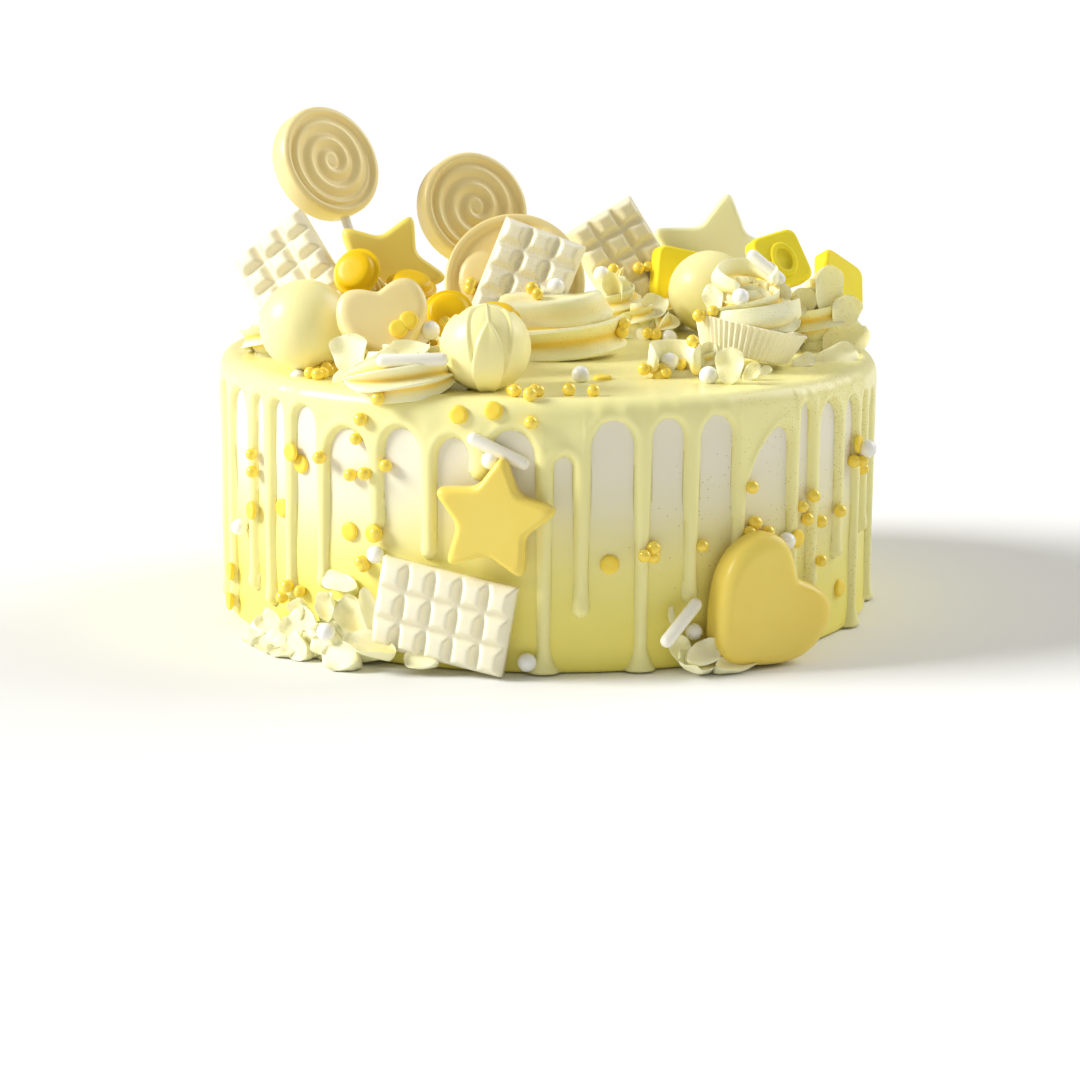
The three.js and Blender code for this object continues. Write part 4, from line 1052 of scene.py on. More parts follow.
def cup_shape():
    """A fluted cup, open at its top."""
    height, wall, floor = CUP["height"], CUP["wall"], CUP["floor"]
    outside = [(0.05, 0.0, 0), (CUP["base"] - 1.6, 0.0, 0), (CUP["base"] - 0.3, 0.25, 0.4)]
    outside += [(lerp(CUP["base"], CUP["rim"], t), height * t, 1) for t in (0.08, 0.35, 0.65, 0.93)]
    outside += [(CUP["rim"] + 0.15, height, 0.9), (CUP["rim"] - 0.5, height + 0.25, 0.8)]
    inside = [(lerp(CUP["base"], CUP["rim"], t) - wall, height * t, 0.8) for t in (0.99, 0.6, 0.25)]
    inside += [(CUP["base"] - 2.6, floor, 0), (0.05, floor, 0)]

    def point_at(angle, station):
        radius, z, wave = station
        return polar(radius + 0.34 * wave * math.cos(CUP["flutes"] * angle) - 0.34 * wave, angle, z)

    bm = new_shape()
    skin(bm, CUP["flutes"] * 6, outside + inside, point_at)
    return bm


def ball_shape(radius):
    bm = new_shape()
    bmesh.ops.create_icosphere(bm, subdivisions=5, radius=radius)
    for v in bm.verts:
        v.co *= 1 + 0.006 * noise.noise(v.co * 0.12)
    return bm


def stick_shape():
    top = -(LOLLY_RADIUS - 1.0)
    bm = new_shape()
    stations = [(0.3, 0), (STICK_RADIUS - 0.2, 0), (STICK_RADIUS, 0.25), (STICK_RADIUS, STICK_LENGTH)]

    def point_at(angle, station):
        radius, down = station
        return Vector((radius * math.cos(angle), top - down, radius * math.sin(angle)))

    skin(bm, 24, stations, point_at)
    return bm


def place_piece(name, bm, place, slot, finish_name=None, sharp=None):
    moved(bm, bm.verts, place)
    return piece(name + "_sweet", bm, finish_name or slot, [name], sharp=sharp)


# How deep a round sweet and the foot of a swirl are pressed into the glaze
PRESSED_IN = 0.3
CUP_LEAN = 13
CUP_PLACE = upright((64, -41.6, 90.2), turn=20) @ turned_about("Y", CUP_LEAN)


def sweets():
    """The moulded sweets, each in its place."""
    place = on_side(-8.2, SIDE_BACK + STAR["thickness"] / 2, 50, spin=-8.5)
    place_piece("side_star", star_shape(**STAR), place, "pale_yellow")
    place = on_side(-16.2, SIDE_BACK + BAR["base"] / 2, 18.4, spin=-9.7)
    place_piece("side_bar", bar_shape(), place, "white")
    place = on_side(29, SIDE_BACK + SIDE_HEART["thickness"] / 2, 17.5, spin=-50, slide=11)
    place_piece("side_heart", heart_shape(**SIDE_HEART), place, "pale_yellow")
    for name, shape, x, y, radius in (
        ("ball_left", ball_shape(14.9), -78, -57, 14.9),
        ("ball_right", ball_shape(14.5), 57, 38, 14.5),
        ("petal_truffle", truffle_shape(), -19.5, -90, TRUFFLE_RADIUS),
    ):
        place_piece(name, shape, upright((x, y, SHELF + radius - PRESSED_IN)), "pale_yellow", "soft_yellow")
    for side, at, turn, lean, spin in (
        ("left", (-75.8, 8, 147.4), 42, 24.5, 5),
        ("right", (-26.4, 19, 131.2), 28, 21.5, 0),
    ):
        place = standing(at, turn, lean, spin)
        place_piece(f"lollipop_{side}", lolly_shape(), place, "ivory")
        bm = stick_shape()
        moved(bm, bm.verts, place)
        whole = list(bm.verts) + list(bm.edges) + list(bm.faces)
        cut = bmesh.ops.bisect_plane(bm, geom=whole, plane_co=(0, 0, SHELF), plane_no=(0, 0, -1),
                                     clear_outer=True)
        bmesh.ops.edgeloop_fill(bm, edges=[g for g in cut["geom_cut"] if isinstance(g, bmesh.types.BMEdge)])
        piece(f"stick_{side}_paper", bm, "stick", [f"stick_{side}"])
    place_piece("medallion", medallion_shape(), standing((-11.3, -5, 108.8), lean=20), "ivory")
    for name, at, turn, lean, spin in (
        ("bar_middle", (-8.7, -12.9, 107), 0, 20, -111),
        ("bar_left", (-83, -32, 111.5), -28, 25, -46),
        ("bar_back", (29, 57, 107), 18, 20, -63),
    ):
        # The bars at the left and the back take the darker copy of the white chocolate, as painted shade.
        place_piece(name, bar_shape(), standing(at, turn, lean, spin), "white",
                    "white" if name == "bar_middle" else "painted_shade_white")
    place = standing((61.5, 69, 106.9), 6, 18, -9.6)
    # The star at the back takes the paler copy of its chocolate, as painted backlight.
    place_piece("star_back", star_shape(**BIG_STAR), place, "pale_yellow", "painted_backlight_yellow")
    place_piece("star_left", star_shape(**STAR), standing((-53.3, -32, 116.2), 8, 14, -26), "pale_yellow")
    place_piece("heart_top", heart_shape(**TOP_HEART), standing((-51.5, -74, 104.4), 4, 26, 14), "white",
                "ivory")
    for name, ringed, at, turn, lean, spin in (
        ("tile_ball", False, (46.2, 55, 104.5), 28, 15, -13),
        ("tile_ringed", True, (78, -2, 116.5), 28, 28, 12),
        ("tile_right", False, (100, 12, 107.5), 52, 30, -36),
    ):
        place = standing(at, turn, lean, spin)
        place_piece(name, tile_shape(ringed), place, "bright_yellow", "tile_yellow")
    melts = [((-62, -46, 117), -24, 28), ((-44.5, -47, 112.5), 30, 68), ((-32, -60, 105.5), 0, 30),
             ((-17, -56, 103.5), 10, 72)]
    for i, (at, turn, lean) in enumerate(melts):
        place_piece(f"melt_{i + 1}", melt_shape(), standing(at, turn, lean), "bright_yellow")
    place_piece("fluted_cup", cup_shape(), CUP_PLACE, "white", sharp=50)


# Piped cream

def rope(bm, path, thick, flutes=6, depth=0.3, twist=0.0, steps=60):
    """Cream from a star nozzle: crisp ridges run along it. It thins out at both of its ends."""

    def point_at(around, t):
        middle, ahead = path(t), path(t + 0.004)
        direction = (ahead - middle).normalized()
        side = direction.cross(Vector((0, 0, 1))).normalized()
        up = side.cross(direction)
        ridge = 1 - 2 * abs(math.sin(flutes * around / 2)) ** 0.85
        torn = 1 + 0.05 * noise.noise(Vector((middle.x * 0.5, middle.y * 0.5, around * 4 + middle.z)))
        reach = thick(t) * (1 + depth * ridge * torn)
        turn = around + twist * t
        return middle + side * reach * math.cos(turn) + up * reach * math.sin(turn)

    # Painted shade: the grooves between the ridges get a deeper yellow.
    def crease_shade_at(around, t):
        return 0.9 * (abs(math.sin(flutes * around / 2)) ** 2.5) * min(depth / 0.3, 1)

    return skin(bm, 10 * flutes, [i / steps for i in range(steps + 1)], point_at, crease_shade_at)


# The share of a swirl's rope that winds up to its peak
PEAK_AT = 0.86


def swirl(bm, radius, height, turns, thick, flutes=6, depth=0.3, start=0.0, twist=2.5, wide=1.0, hook=2.0):
    """A rope of cream wound up to a peak with a small hook, over a core."""
    lowest = 0.72 * thick

    def path(t):
        wound = clamp(t / PEAK_AT)
        reach = (radius - 1.1 * thick) * (1 - wound) ** 0.8
        angle = start + TURN * turns * t
        tail = clamp((t - PEAK_AT) / (1 - PEAK_AT))
        lift = lerp(lowest, 0.8 * height, wound ** 0.92) + 0.2 * height * tail
        bend = hook * tail * tail
        return Vector((wide * reach * math.cos(angle) + bend, reach * math.sin(angle), lift))

    def width(t):
        return thick * (1 - 0.42 * t) * eased(0.3 + t * 14) * (1 - 0.93 * clamp((t - 0.8) / 0.2) ** 0.9)

    made = rope(bm, path, width, flutes, depth, twist, int(42 * turns))
    tall = 0.75 * height
    core = bmesh.ops.create_cone(
        bm, cap_ends=True, segments=24, radius1=radius - 1.2 * thick, radius2=0.25 * thick, depth=tall,
        matrix=Matrix.Translation((0, 0, tall / 2)) @ Matrix.Diagonal((wide, 1, 1, 1)),
    )["verts"]
    return made + core


def arc(reach, start, end, low, high, wide=1.0, spread=0.0):
    """A path round a circle of the given reach: from start to end in degrees, and from low to high."""

    def path(t):
        angle = math.radians(lerp(start, end, t))
        out = reach + spread * t
        return Vector((wide * out * math.cos(angle), out * math.sin(angle), lerp(low, high, t)))

    return path


def tapered(thick, ends=0.18, tip=0.25):
    """The width of a rope that is thick in its middle and narrows at its ends."""
    return lambda t: thick * lerp(tip, 1, eased(t / ends)) * lerp(tip, 1, eased((1 - t) / ends))


# How deep a petal's root is set in what shows behind it, the furthest that a petal is brought
# forward for that, and its rows of points
ROOT_SET = 0.9
LONGEST_FORWARD = 7.0
PETAL_ROWS = 26


def petal(bm, place, length, width, thick, curl=0.3, cup=0.45, seed=0):
    """A petal of cream from its root along +Y to its broad tip: a hollow face, thin rims, a solid back."""

    def point_at(around, s):
        closing = math.sqrt(max(0.0, 1 - clamp((s - 0.58) / 0.42) ** 2.4))
        opening = 0.6 + 0.4 * eased(s / 0.6)
        half = 0.5 * width * closing * opening * math.sqrt(clamp(s / 0.16 + 0.006))
        across, side = math.cos(around), math.sin(around)
        body = thick * (1 - 0.78 * s) * closing * math.sqrt(clamp(s / 0.12 + 0.01))
        depth = 0.12 * body * side if side > 0 else 0.88 * body * side
        ruffle = 0.15 * width * math.sin(10 * s + 1.7 * seed) * across ** 3 * s
        reach = length * (s - 0.5) + 0.06 * width * math.sin(6 * across + seed) * s * s * closing
        hollow = cup * half * (across * across - 0.35)
        return Vector((half * across, reach, depth + hollow + curl * length * s * s + ruffle))

    # Painted shade: the cupped face gets a deeper yellow towards the root.
    def crease_shade_at(around, s):
        return 0.8 * cup * clamp(math.sin(around)) ** 2 * (1 - s)

    made = skin(bm, 40, [i / PETAL_ROWS for i in range(PETAL_ROWS + 1)], point_at, crease_shade_at)
    moved(bm, made, place)
    return made


def petal_between(bm, root, tip, width, thick, turn=0.0, lift=0.0, curl=0.1, cup=0.6):
    """A petal from root to tip. Its hollow faces the given turn from the front, lifted by degrees."""
    along = (tip - root).normalized()
    lift = math.radians(lift)
    facing = side_point(turn, math.cos(lift), math.sin(lift))
    facing = (facing - along * facing.dot(along)).normalized()
    across = along.cross(facing)
    place = Matrix((across, along, facing)).transposed().to_4x4()
    place.translation = (root + tip) / 2
    return petal(bm, place, (tip - root).length, width, thick, curl, cup, seed=width)


def way_back(bm, x, y, depth):
    """How far a petal's root has to go back, or come forward, to be set in what shows behind it."""
    origin, aim = sight(x, y)
    piped = BVHTree.FromBMesh(bm).ray_cast(origin / MM, aim)[0]
    other = landing(origin, aim)
    met = [point.y for point in (piped, other and other[0]) if point is not None]
    way = min(met) + ROOT_SET - depth if met else 0.0
    return way if way > -LONGEST_FORWARD else 0.0


def seen_petals(bm, petals):
    """Petals given by their root and tip in the frame, each with its depth, and then by their form."""
    for x0, y0, depth, x1, y1, tip_depth, *form in petals:
        way = way_back(bm, x0, y0, depth)
        petal_between(bm, at_depth(x0, y0, depth + way), at_depth(x1, y1, tip_depth + way), *form)


def band(bm, path, tall, thick, start=0.0, end=1.0, steps=60):
    """A flat band of cream on its edge, with a thin crisp upper rim, as a petal nozzle leaves it."""

    def point_at(around, t):
        middle, ahead = path(t), path(t + 0.004)
        direction = (ahead - middle).normalized()
        side = direction.cross(Vector((0, 0, 1))).normalized()
        up = side.cross(direction)
        ends = math.sqrt(clamp(1 - abs(2 * (t - start) / (end - start) - 1) ** 5))
        high = math.sin(around)
        wall = thick * (0.62 - 0.38 * high) * (0.2 + 0.8 * ends)
        wave = 0.35 * thick * math.sin(9 * t) * max(high, 0)
        across = side * (wall * math.cos(around) + wave)
        return middle + across + up * 0.5 * tall * high * (0.3 + 0.7 * ends)

    # Painted shade: the lower side of the band gets a deeper yellow.
    def crease_shade_at(around, t):
        return 0.6 * clamp(-math.sin(around))

    stations = [lerp(start, end, i / steps) for i in range(steps + 1)]
    return skin(bm, 24, stations, point_at, crease_shade_at)


def cream_piece(name, bm, place=None, floor=None):
    if place is not None:
        moved(bm, bm.verts, place)
    if floor is not None:
        for v in bm.verts:
            v.co.z = max(v.co.z, floor)
    return piece(name + "_piped", bm, "cream", [name], sharp=52)


# Low heaps of cream beside a swirl, which carry the sweets that lie there: x, y, radius, height,
# number of turns and the turn at its start
HEAPS = {
    "cream_mound": [(-55, -43, 18.5, 30, 2.2, 200), (-25, -53, 15.5, 18, 1.6, 60)],
    "cream_small": [(43.5, 50, 14, 13, 1.3, 120), (34, 27, 12.5, 11.5, 1.2, 250)],
    "cream_right": [(78, -3, 14.5, 25, 2.0, 300)],
}
# Root x, y and depth, tip x, y and depth, width, thickness, turn, lift, curl and cup. Both depths are
# then shifted by the same distance, so that the root is set in what shows behind it.
SEEN_PETALS = {
    "cream_small": [
        (632, 320, 20, 668, 302, 24, 10, 5, -10, 45, 0.1, 0.5),
        (618, 304, 22, 611, 271, 22, 7, 3.5, -20, 15, 0.1, 0.8),
        (630, 302, 14, 612, 279, 16, 8, 5, -15, 30, 0.1, 0.1),
        (645, 338, 10, 612, 322, 14, 8, 5, -10, 40, 0.1, 0.4),
        (652, 338, 12, 670, 318, 16, 8, 4.5, 10, 35, 0.1, 0.5),
    ],
    "cream_right": [
        (829, 318, 0, 827, 264, -2, 10.5, 5, 15, 15, 0.1, 0.3),
        (842, 330, -4, 848, 294, -4, 11, 5, 20, 20, 0.1, 0.3),
        (824, 352, -12, 864, 328, -8, 14, 7, 25, 40, 0.1, 0.4),
        (800, 318, -16, 806, 288, -14, 9, 5, 5, 20, 0.1, 0.5),
        (812, 366, -30, 856, 352, -22, 9, 5, 20, 50, 0.05, 0.4),
        (792, 367, -50, 816, 356, -46, 5.5, 5, 10, 50, 0, 0.2),
    ],
    "cream_cup": [
        (770, 303, -40, 784, 283, -38, 9, 4, 15, 30, 0.1, 0.4),
        (766, 329, -55, 800, 320, -50, 6, 6, 15, 40, 0, 0.1),
        (716, 314, -50, 712, 284, -46, 7, 4.5, -25, 20, 0.1, 0.3),
        (722, 300, -48, 772, 296, -48, 7, 6, 0, 40, 0, 0.5),
    ],
    "cream_petals": [
        (729, 385, -74, 731, 347, -72, 9.4, 5, -15, 20, 0.05, 0.25),
        (709, 374, -70, 708, 342, -68, 7, 3.5, 20, 15, 0.05, 0.6),
        (716, 374, -71, 714, 341, -70, 2.6, 1.6, -40, 5, 0, 0),
        (744, 381, -72, 759, 364, -70, 5, 4, 10, 30, 0.1, 0.3),
        (655, 377, -70, 699, 374, -70, 4.5, 4, 0, 45, 0, 0.2),
        (762, 375, -66, 770, 366, -64, 3.5, 3, 0, 30, 0, 0.2),
    ],
    "cream_front": [
        (346, 378, -90, 431, 348, -84, 10, 5, -15, 45, 0.06, 0.35),
        (338, 390, -99, 454, 372, -97, 9.5, 6, -5, 30, 0.02, 0.3),
        (350, 399, -101, 469, 389, -101, 6, 5, 0, 25, 0.02, 0.3),
        (352, 374, -84, 350, 334, -80, 13, 5, -30, 20, 0.05, 0.35),
        (333, 382, -92, 362, 362, -88, 6, 5, -20, 35, 0, 0.1),
    ],
}


def heaps(bm, name):
    for x, y, radius, height, turns, turn in HEAPS.get(name, []):
        made = swirl(bm, radius, height, turns, 0.37 * radius, 6, 0.3, start=1.0)
        moved(bm, made, upright((x, y, SHELF - PRESSED_IN), turn=turn))
    seen_petals(bm, SEEN_PETALS.get(name, []))


# How deep the looser cream is pressed into the glaze
CREAM_SEAT = 0.2
# The heap under the cream in the middle, and the angles of its rows of points
CENTRE_DOME = {"reach": 19.5, "height": 20, "wide": 1.2}
DOME_RISES = (0, 0.2, 0.4, 0.6, 0.8, 1.0, 1.2, 1.35, 1.47, 1.56)


def creams():
    """The cream on the top, piece by piece, with the petals that show on it."""
    bm = new_shape()
    above_rim = Matrix.Translation((0, 0, CUP["height"]))
    upright_again = turned_about("Y", -CUP_LEAN)
    made = swirl(bm, 16.6, 17, 1.5, 6.0, 6, 0.33, start=2.4, twist=3.4, hook=0)
    made += band(bm, arc(14.2, 196, 352, 4.2, 8.2), 7.5, 3.6)
    moved(bm, made, above_rim @ upright_again @ Matrix.Translation((0, 0, -2)))
    made = band(bm, arc(9.2, -48, 236, 2.0, 0.5), 6.5, 2.8)
    moved(bm, made, above_rim @ upright_again @ Matrix.Translation((-2.2, 0, 14.6)) @ turned_about("X", 14))
    tall = CUP["height"] - 2.4
    bmesh.ops.create_cone(bm, cap_ends=True, segments=48, radius1=12.6, radius2=16.4, depth=tall,
                          matrix=Matrix.Translation((0, 0, 1.9 + tall / 2)))
    moved(bm, bm.verts, CUP_PLACE)
    seen_petals(bm, SEEN_PETALS["cream_cup"])
    cream_piece("cream_cup", bm)

    for name, values, at, turn in (
        ("cream_right", (15.5, 27, 2.3, 6.0, 6, 0.3), (92, 5), 40),
        ("cream_small", (12, 23, 2.2, 4.8, 5, 0.36), (25, 40), -20),
        ("cream_mound", (19.5, 27, 2.3, 7.0, 6, 0.3), (-48, -36), 30),
        ("cream_left", (12.5, 16, 1.7, 5.0, 6, 0.3), (-92, -20), 80),
        ("cream_back", (15.5, 16, 1.7, 5.8, 6, 0.3), (3, 78), 15),
        ("cream_rear", (15.5, 16, 1.7, 5.8, 6, 0.3), (-54, 50), 60),
    ):
        bm = new_shape()
        made = swirl(bm, *values)
        moved(bm, made, upright((*at, SHELF - PRESSED_IN), turn=turn))
        heaps(bm, name)
        cream_piece(name, bm)

    bm = new_shape()
    reach, tall, wide = CENTRE_DOME["reach"], CENTRE_DOME["height"], CENTRE_DOME["wide"]
    dome = [(reach * math.cos(a) ** 0.8, tall * math.sin(a)) for a in DOME_RISES]

    def dome_at(angle, station):
        out, height = station
        return Vector((wide * out * math.cos(angle), out * math.sin(angle), height))

    skin(bm, 72, dome, dome_at)
    rope(bm, arc(17, 178, 372, 5.6, 6.2, 1.18), tapered(7.2), 5, 0.32, 1.1, 90)
    rope(bm, arc(11.5, 140, 395, 12.8, 14.2, 1.25), tapered(7.4), 5, 0.1, 1.4, 80)
    cream_piece("cream_centre", bm, upright((0, -10, SHELF - CREAM_SEAT)))

    bm = new_shape()
    swirl(bm, 13, 14, 1.3, 5.5, 5, 0.3, start=2.6, wide=1.25, hook=0)
    rope(bm, arc(12.5, 188, 362, 3.2, 4.6, 1.33, 0.8), tapered(6.0, 0.4, 0.12), 7, 0.34, 1.5, 80)
    moved(bm, bm.verts, upright((-47, -86, SHELF - CREAM_SEAT)))
    seen_petals(bm, SEEN_PETALS["cream_front"])
    cream_piece("cream_front", bm)

    bm = new_shape()
    ring = band(bm, arc(6.9, -38, 214, 5.6, 5.8), 11, 2.8)
    moved(bm, ring, upright((40.5, -63, SHELF - CREAM_SEAT)))
    bulge = swirl(bm, 11.5, 7, 1.1, 4.2, 6, 0.3, hook=0)
    moved(bm, bulge, upright((52, -53, SHELF - PRESSED_IN)))
    seen_petals(bm, SEEN_PETALS["cream_petals"])
    cream_piece("cream_petals", bm)


# Dabs at the foot: root and tip in the frame, each with its distance from the coat, width,
# thickness, swing, lift, curl and cup
FOOT_DABS = {
    "left": [
        (288, 636, 5, 250, 630, 5, 9, 8, 0, 20, 0, 0.1),
        (288, 642, 10, 259, 645, 13, 9, 5, -25, 45, 0.12, 0.5),
        (266, 634, 7, 245, 644, 12, 8, 5, -30, 35, 0.1, 0.4),
        (282, 630, 6, 262, 617, 6, 8, 4, -15, 30, 0.1, 0.6),
        (296, 650, 12, 272, 646, 13, 8, 5, 0, 45, 0.1, 0.4),
    ],
    "middle": [
        (392, 652, 5, 302, 644, 8, 14, 10, 0, 15, 0, 0.0),
        (350, 654, 4, 336, 600, 2.5, 16, 9, 0, 10, 0, 0.1),
        (318, 660, 9, 290, 622, 8, 15, 8, -25, 25, 0.1, 0.25),
        (357, 588, 2.6, 323, 577, 2.6, 7, 4.5, 0, 45, 0, 0.2),
        (363, 641, 7, 345, 595, 5, 10, 4, 10, 10, 0.05, 0.7),
        (377, 642, 9, 363, 587, 8, 5.4, 3.2, 35, 5, 0, 0.3),
        (328, 622, 8, 329, 592, 6, 8, 4, -5, 15, 0.1, 0.8),
        (304, 634, 7, 303, 597, 6, 9.5, 4, -25, 15, 0.1, 0.8),
        (300, 606, 9, 320, 636, 11, 6, 4, -30, 30, 0.1, 0.4),
        (358, 662, 14, 322, 656, 15, 9.5, 8, -15, 35, 0, 0.15),
        (396, 652, 11, 342, 641, 15, 9, 4.5, 0, 62, 0.06, 0.7),
        (306, 660, 13, 289, 640, 11, 9, 5, -30, 25, 0.1, 0.3),
        (340, 652, 12, 312, 630, 12, 10, 7, -10, 20, 0, 0.2),
    ],
    "bar": [
        (438, 660, 8, 404, 660, 9, 6.4, 5.5, 0, 35, 0.02, 0.3),
    ],
    "right": [
        (688, 664, 7, 674, 636, 5, 7, 4, -15, 10, 0.05, 0.4),
        (672, 624, 2.5, 671, 606, 1.6, 2.2, 1.8, 0, 0, 0, 0),
        (714, 666, 10, 677, 664, 11, 9.5, 5, -20, 55, 0.1, 0.6),
        (688, 660, 13, 718, 648, 9, 8.5, 5, 0, 40, 0.05, 0.3),
        (716, 670, 13, 753, 664, 10, 7.5, 5, 5, 50, 0.08, 0.5),
        (748, 668, 8, 684, 668, 8, 9, 7, 0, 30, 0, 0.1),
    ],
}


# A dab that reaches deeper below the floor than this is raised to it. What is then still below the
# floor's level is pressed flat.
FOOT_SUNK = 0.6
FLOOR_LEVEL = 0.05


def foot_creams():
    """Dabs of cream at the foot of the cake, pressed on the floor where they reach it."""
    for side, dabs in FOOT_DABS.items():
        bm = new_shape()
        for x0, y0, away, x1, y1, away_tip, width, thick, swing, *form in dabs:
            root = beside(x0, y0, away)
            turn = math.degrees(math.atan2(root.x, -root.y)) + swing
            made = petal_between(bm, root, beside(x1, y1, away_tip), width, thick, turn, *form)
            sunk = min(v.co.z for v in made)
            bmesh.ops.translate(bm, verts=made, vec=(0, 0, clamp(-FOOT_SUNK - sunk, 0, 20)))
        cream_piece(f"cream_foot_{side}", bm, floor=FLOOR_LEVEL)


# Small decorations lie where the front shows them, on whatever carries them there.

def landing(origin, direction):
    """The nearest surface from a point in a direction, as (point, normal) in millimetres."""
    best = None
    for tree in landings:
        point, normal, _, distance = tree.ray_cast(origin, direction)
        if point is not None and (best is None or distance < best[0]):
            best = (distance, point / MM, normal)
    return best and best[1:]


def seen(x, y):
    return landing(*sight(x, y))


# A pearl's centre is this share of its radius away from what carries it. On a surface that the sight
# grazes, the slant counts as this much at least. A pearl that is then nearer to anything, or further
# from everything, than these shares is moved, the near one to the second seat.
PEARL_SEAT = 0.9
SLANT_LIMIT = 0.2
NEAREST, FURTHEST = 0.75, 1.05
SECOND_SEAT = 0.8


def perch(x, y, radius):
    """The centre of a ball that shows at a place of the frame and touches what is behind it."""
    origin, aim = sight(x, y)
    hit = landing(origin, aim)
    if not hit:
        return None
    point, normal = hit
    back = PEARL_SEAT * radius / max(abs(aim.dot(normal)), SLANT_LIMIT)
    centre = point - aim * back
    nearest = min((tree.find_nearest(centre * MM) for tree in landings), key=lambda found: found[3])
    gap = nearest[3] / MM
    if gap > FURTHEST * radius:
        return point + normal * PEARL_SEAT * radius
    if gap < NEAREST * radius:
        centre = nearest[0] / MM + (centre - nearest[0] / MM).normalized() * SECOND_SEAT * radius
    return centre


# From which turn to which, and from which height to which, the hidden side has strewn pieces
HIDDEN_SIDE = (102, 258)
STREWN_HEIGHTS = (8, 74)


def scattered(count, seed):
    """Landings strewn over the side that the front hides."""
    chance = seeded(seed)
    found = []
    for _ in range(count):
        turn, height = lerp(*HIDDEN_SIDE, chance()), lerp(*STREWN_HEIGHTS, chance())
        start = side_point(turn, 200, height) * MM
        found.append(landing(start, (side_point(turn, 0, height) * MM - start).normalized()))
    return found


# Pearls on the hidden side are pressed in a little deeper
STREWN_SEAT = 0.6


def pearls(name, finish_name, radius, seen_at, strewn):
    bm = new_shape()
    centres = [perch(x, y, radius) for x, y in seen_at]
    centres += [point + normal * STREWN_SEAT * radius for point, normal in strewn]
    for i, centre in enumerate(c for c in centres if c):
        size = radius * (0.94 + 0.12 * ((i * 37) % 11) / 10)
        bmesh.ops.create_icosphere(bm, subdivisions=3, radius=size, matrix=Matrix.Translation(centre))
    return piece(name, bm, finish_name, lands=False)


def disc_places(places):
    bm = new_shape()
    radius, thick = DISC["radius"], DISC["thickness"]
    profile = [(0.02, 0), (radius - 0.3, 0), (radius, 0.25), (radius, thick - 0.3), (radius - 0.3, thick),
               (radius * 0.5, thick + 0.05), (0.02, thick)]
    for point, normal in places:
        point.z = max(point.z, radius + 0.1)
        made = skin(bm, 24, profile, lambda angle, s: polar(s[0], angle, s[1]))
        if point.z < RIM_CENTRE[1] and abs(normal.z) < 0.6:
            normal = Vector((point.x, point.y, 0)).normalized()
        turn = normal.to_track_quat("Z", "Y").to_matrix().to_4x4()
        proud = 0.0
        for i in range(8):
            off = turn @ (polar(0.8 * radius, i * TURN / 8, 0).to_4d())
            hit = landing((point + off.to_3d() + normal * 8) * MM, -normal)
            if hit:
                proud = max(proud, min((hit[0] - point).dot(normal), 2.4))
        moved(bm, made, Matrix.Translation(point + normal * (proud - 0.15)) @ turn)
    return piece("yellow_discs", bm, "disc", lands=False)


# The angles of the rows of points over the round end of a rod
ROD_END = (0.02, 0.4, 0.8, 1.2, 1.57)


def rods(ends):
    bm = new_shape()
    radius = ROD_RADIUS
    for a, b in ends:
        length = (b - a).length
        stations = [(radius * math.sin(t), radius - radius * math.cos(t)) for t in ROD_END]
        stations += [(r, length - z) for r, z in reversed(stations)]
        made = skin(bm, 20, stations, lambda angle, s: polar(s[0], angle, s[1]))
        turn = (b - a).to_track_quat("Z", "Y").to_matrix().to_4x4()
        moved(bm, made, Matrix.Translation(a) @ turn)
    return piece("sugar_rods", bm, "rod", lands=False)


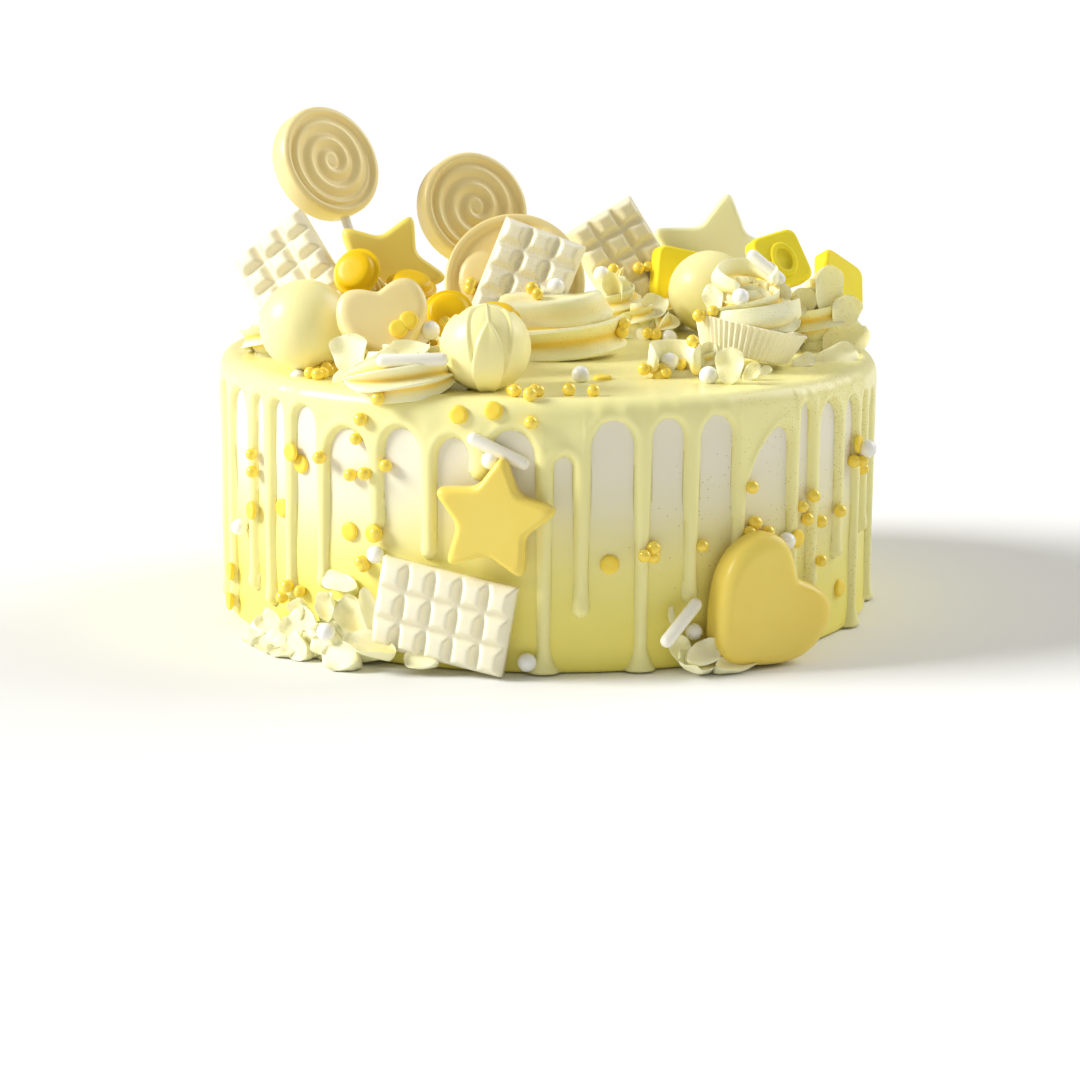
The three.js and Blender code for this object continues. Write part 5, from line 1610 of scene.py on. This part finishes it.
SEEN_WHITE_PEARLS = [
    (299, 370), (580.5, 375.5), (601.8, 274.5), (667.5, 331), (670, 361.5), (708.5, 376.5),
    (738.5, 294), (555.5, 287.5), (423, 327), (375.5, 554.5), (326, 632), (239.5, 527), (492, 462),
    (527, 662.5), (694, 632), (785.5, 541), (860, 448),
]
SEEN_GOLD_PEARLS = [
    (310, 373.5), (317.6, 375), (317.6, 367), (324, 363), (330.7, 364), (328.3, 371.6), (323.3, 374),
    (334, 368), (378, 398.5), (431, 341), (445.5, 322.8), (512.3, 390.3), (514.8, 396.5), (529.8, 394),
    (538.5, 391.5), (534.7, 396.5), (568.8, 395.3), (593.3, 391), (649.2, 367.6), (657.6, 374.7),
    (665.1, 376.7), (662, 371.6), (680.4, 365.1), (692.7, 341), (700.8, 314.9), (718.2, 313.5),
    (613.5, 269.2), (638.6, 268), (646.7, 267.1), (619, 322.7), (618, 335), (647.8, 333), (656, 336),
    (470, 289), (471, 283), (532, 288), (538, 299), (531, 422.5), (360.4, 419.2), (355.8, 438.7),
    (350.1, 474.8), (368.4, 473.2), (385.7, 465.8), (319.1, 457.6), (251.3, 454.1), (252, 471.6),
    (287, 586), (299.5, 591.4), (285.8, 595), (361, 562), (363.4, 566), (749.2, 486.2), (755.7, 523),
    (747.7, 532.2), (768.3, 532.2), (801.8, 506.8), (806.6, 518.9), (821.2, 521.3), (816.3, 560.5),
    (840.5, 511), (852.7, 461), (858.5, 460), (862.8, 468.5), (651.5, 548), (644.5, 556), (653, 556.5),
    (702.4, 546), (814.4, 496), (376, 531),
]
SEEN_DISCS = [
    (459.1, 414.6), (493.6, 410.9), (283.5, 507.6), (350.5, 531), (378, 532.2), (256, 509.9),
    (232, 571), (232, 601), (233, 622), (609.5, 564.2), (796.2, 538.3), (302.5, 464), (296, 451.4),
    (602.4, 379.1), (851.5, 443.5), (838, 588), (398.6, 329), (408.8, 320.7),
]
SEEN_RODS = [((467.5, 436), (529, 466.5)), ((376, 361), (449, 359)), ((748, 251.5), (784, 283))]
# The rod that leans at the foot, by the turn, radius and height of its ends
FOOT_ROD = ((17.3, 121, 10.6), (24.4, 115, 22.7))
# How far the middle of a rod's end is in front of what shows there
ROD_LIFT = 1.6
# So many places are strewn. White pearls lie on those before the second of these numbers, gold ones
# on those before the third and discs on the rest.
STREWN_COUNT = 44
STREWN_WHITE = 6
STREWN_GOLD = 34


def rod_ends(a, b):
    """Both ends of a rod as far off as the nearer one, so that it lies across what carries it."""
    hits = [(sight(*at), seen(*at)) for at in (a, b)]
    near = min((hit[0] - origin / MM).length for (origin, _), hit in hits) - ROD_LIFT
    return [origin / MM + aim * near for (origin, aim), _ in hits]


def small_decorations():
    strewn = [hit for hit in scattered(STREWN_COUNT, 5) if hit]
    pearls("white_pearls", "white_pearl", WHITE_PEARL, SEEN_WHITE_PEARLS, strewn[:STREWN_WHITE])
    pearls("gold_pearls", "gold_pearl", GOLD_PEARL, SEEN_GOLD_PEARLS,
           strewn[STREWN_WHITE:STREWN_GOLD])
    disc_places([hit for hit in (seen(*at) for at in SEEN_DISCS) if hit] + strewn[STREWN_GOLD:])
    ends = [rod_ends(a, b) for a, b in SEEN_RODS]
    ends.append(tuple(side_point(*end) for end in FOOT_ROD))
    rods(ends)


studio()
coat_piece()
glaze_piece()
sweets()
creams()
foot_creams()
small_decorations()
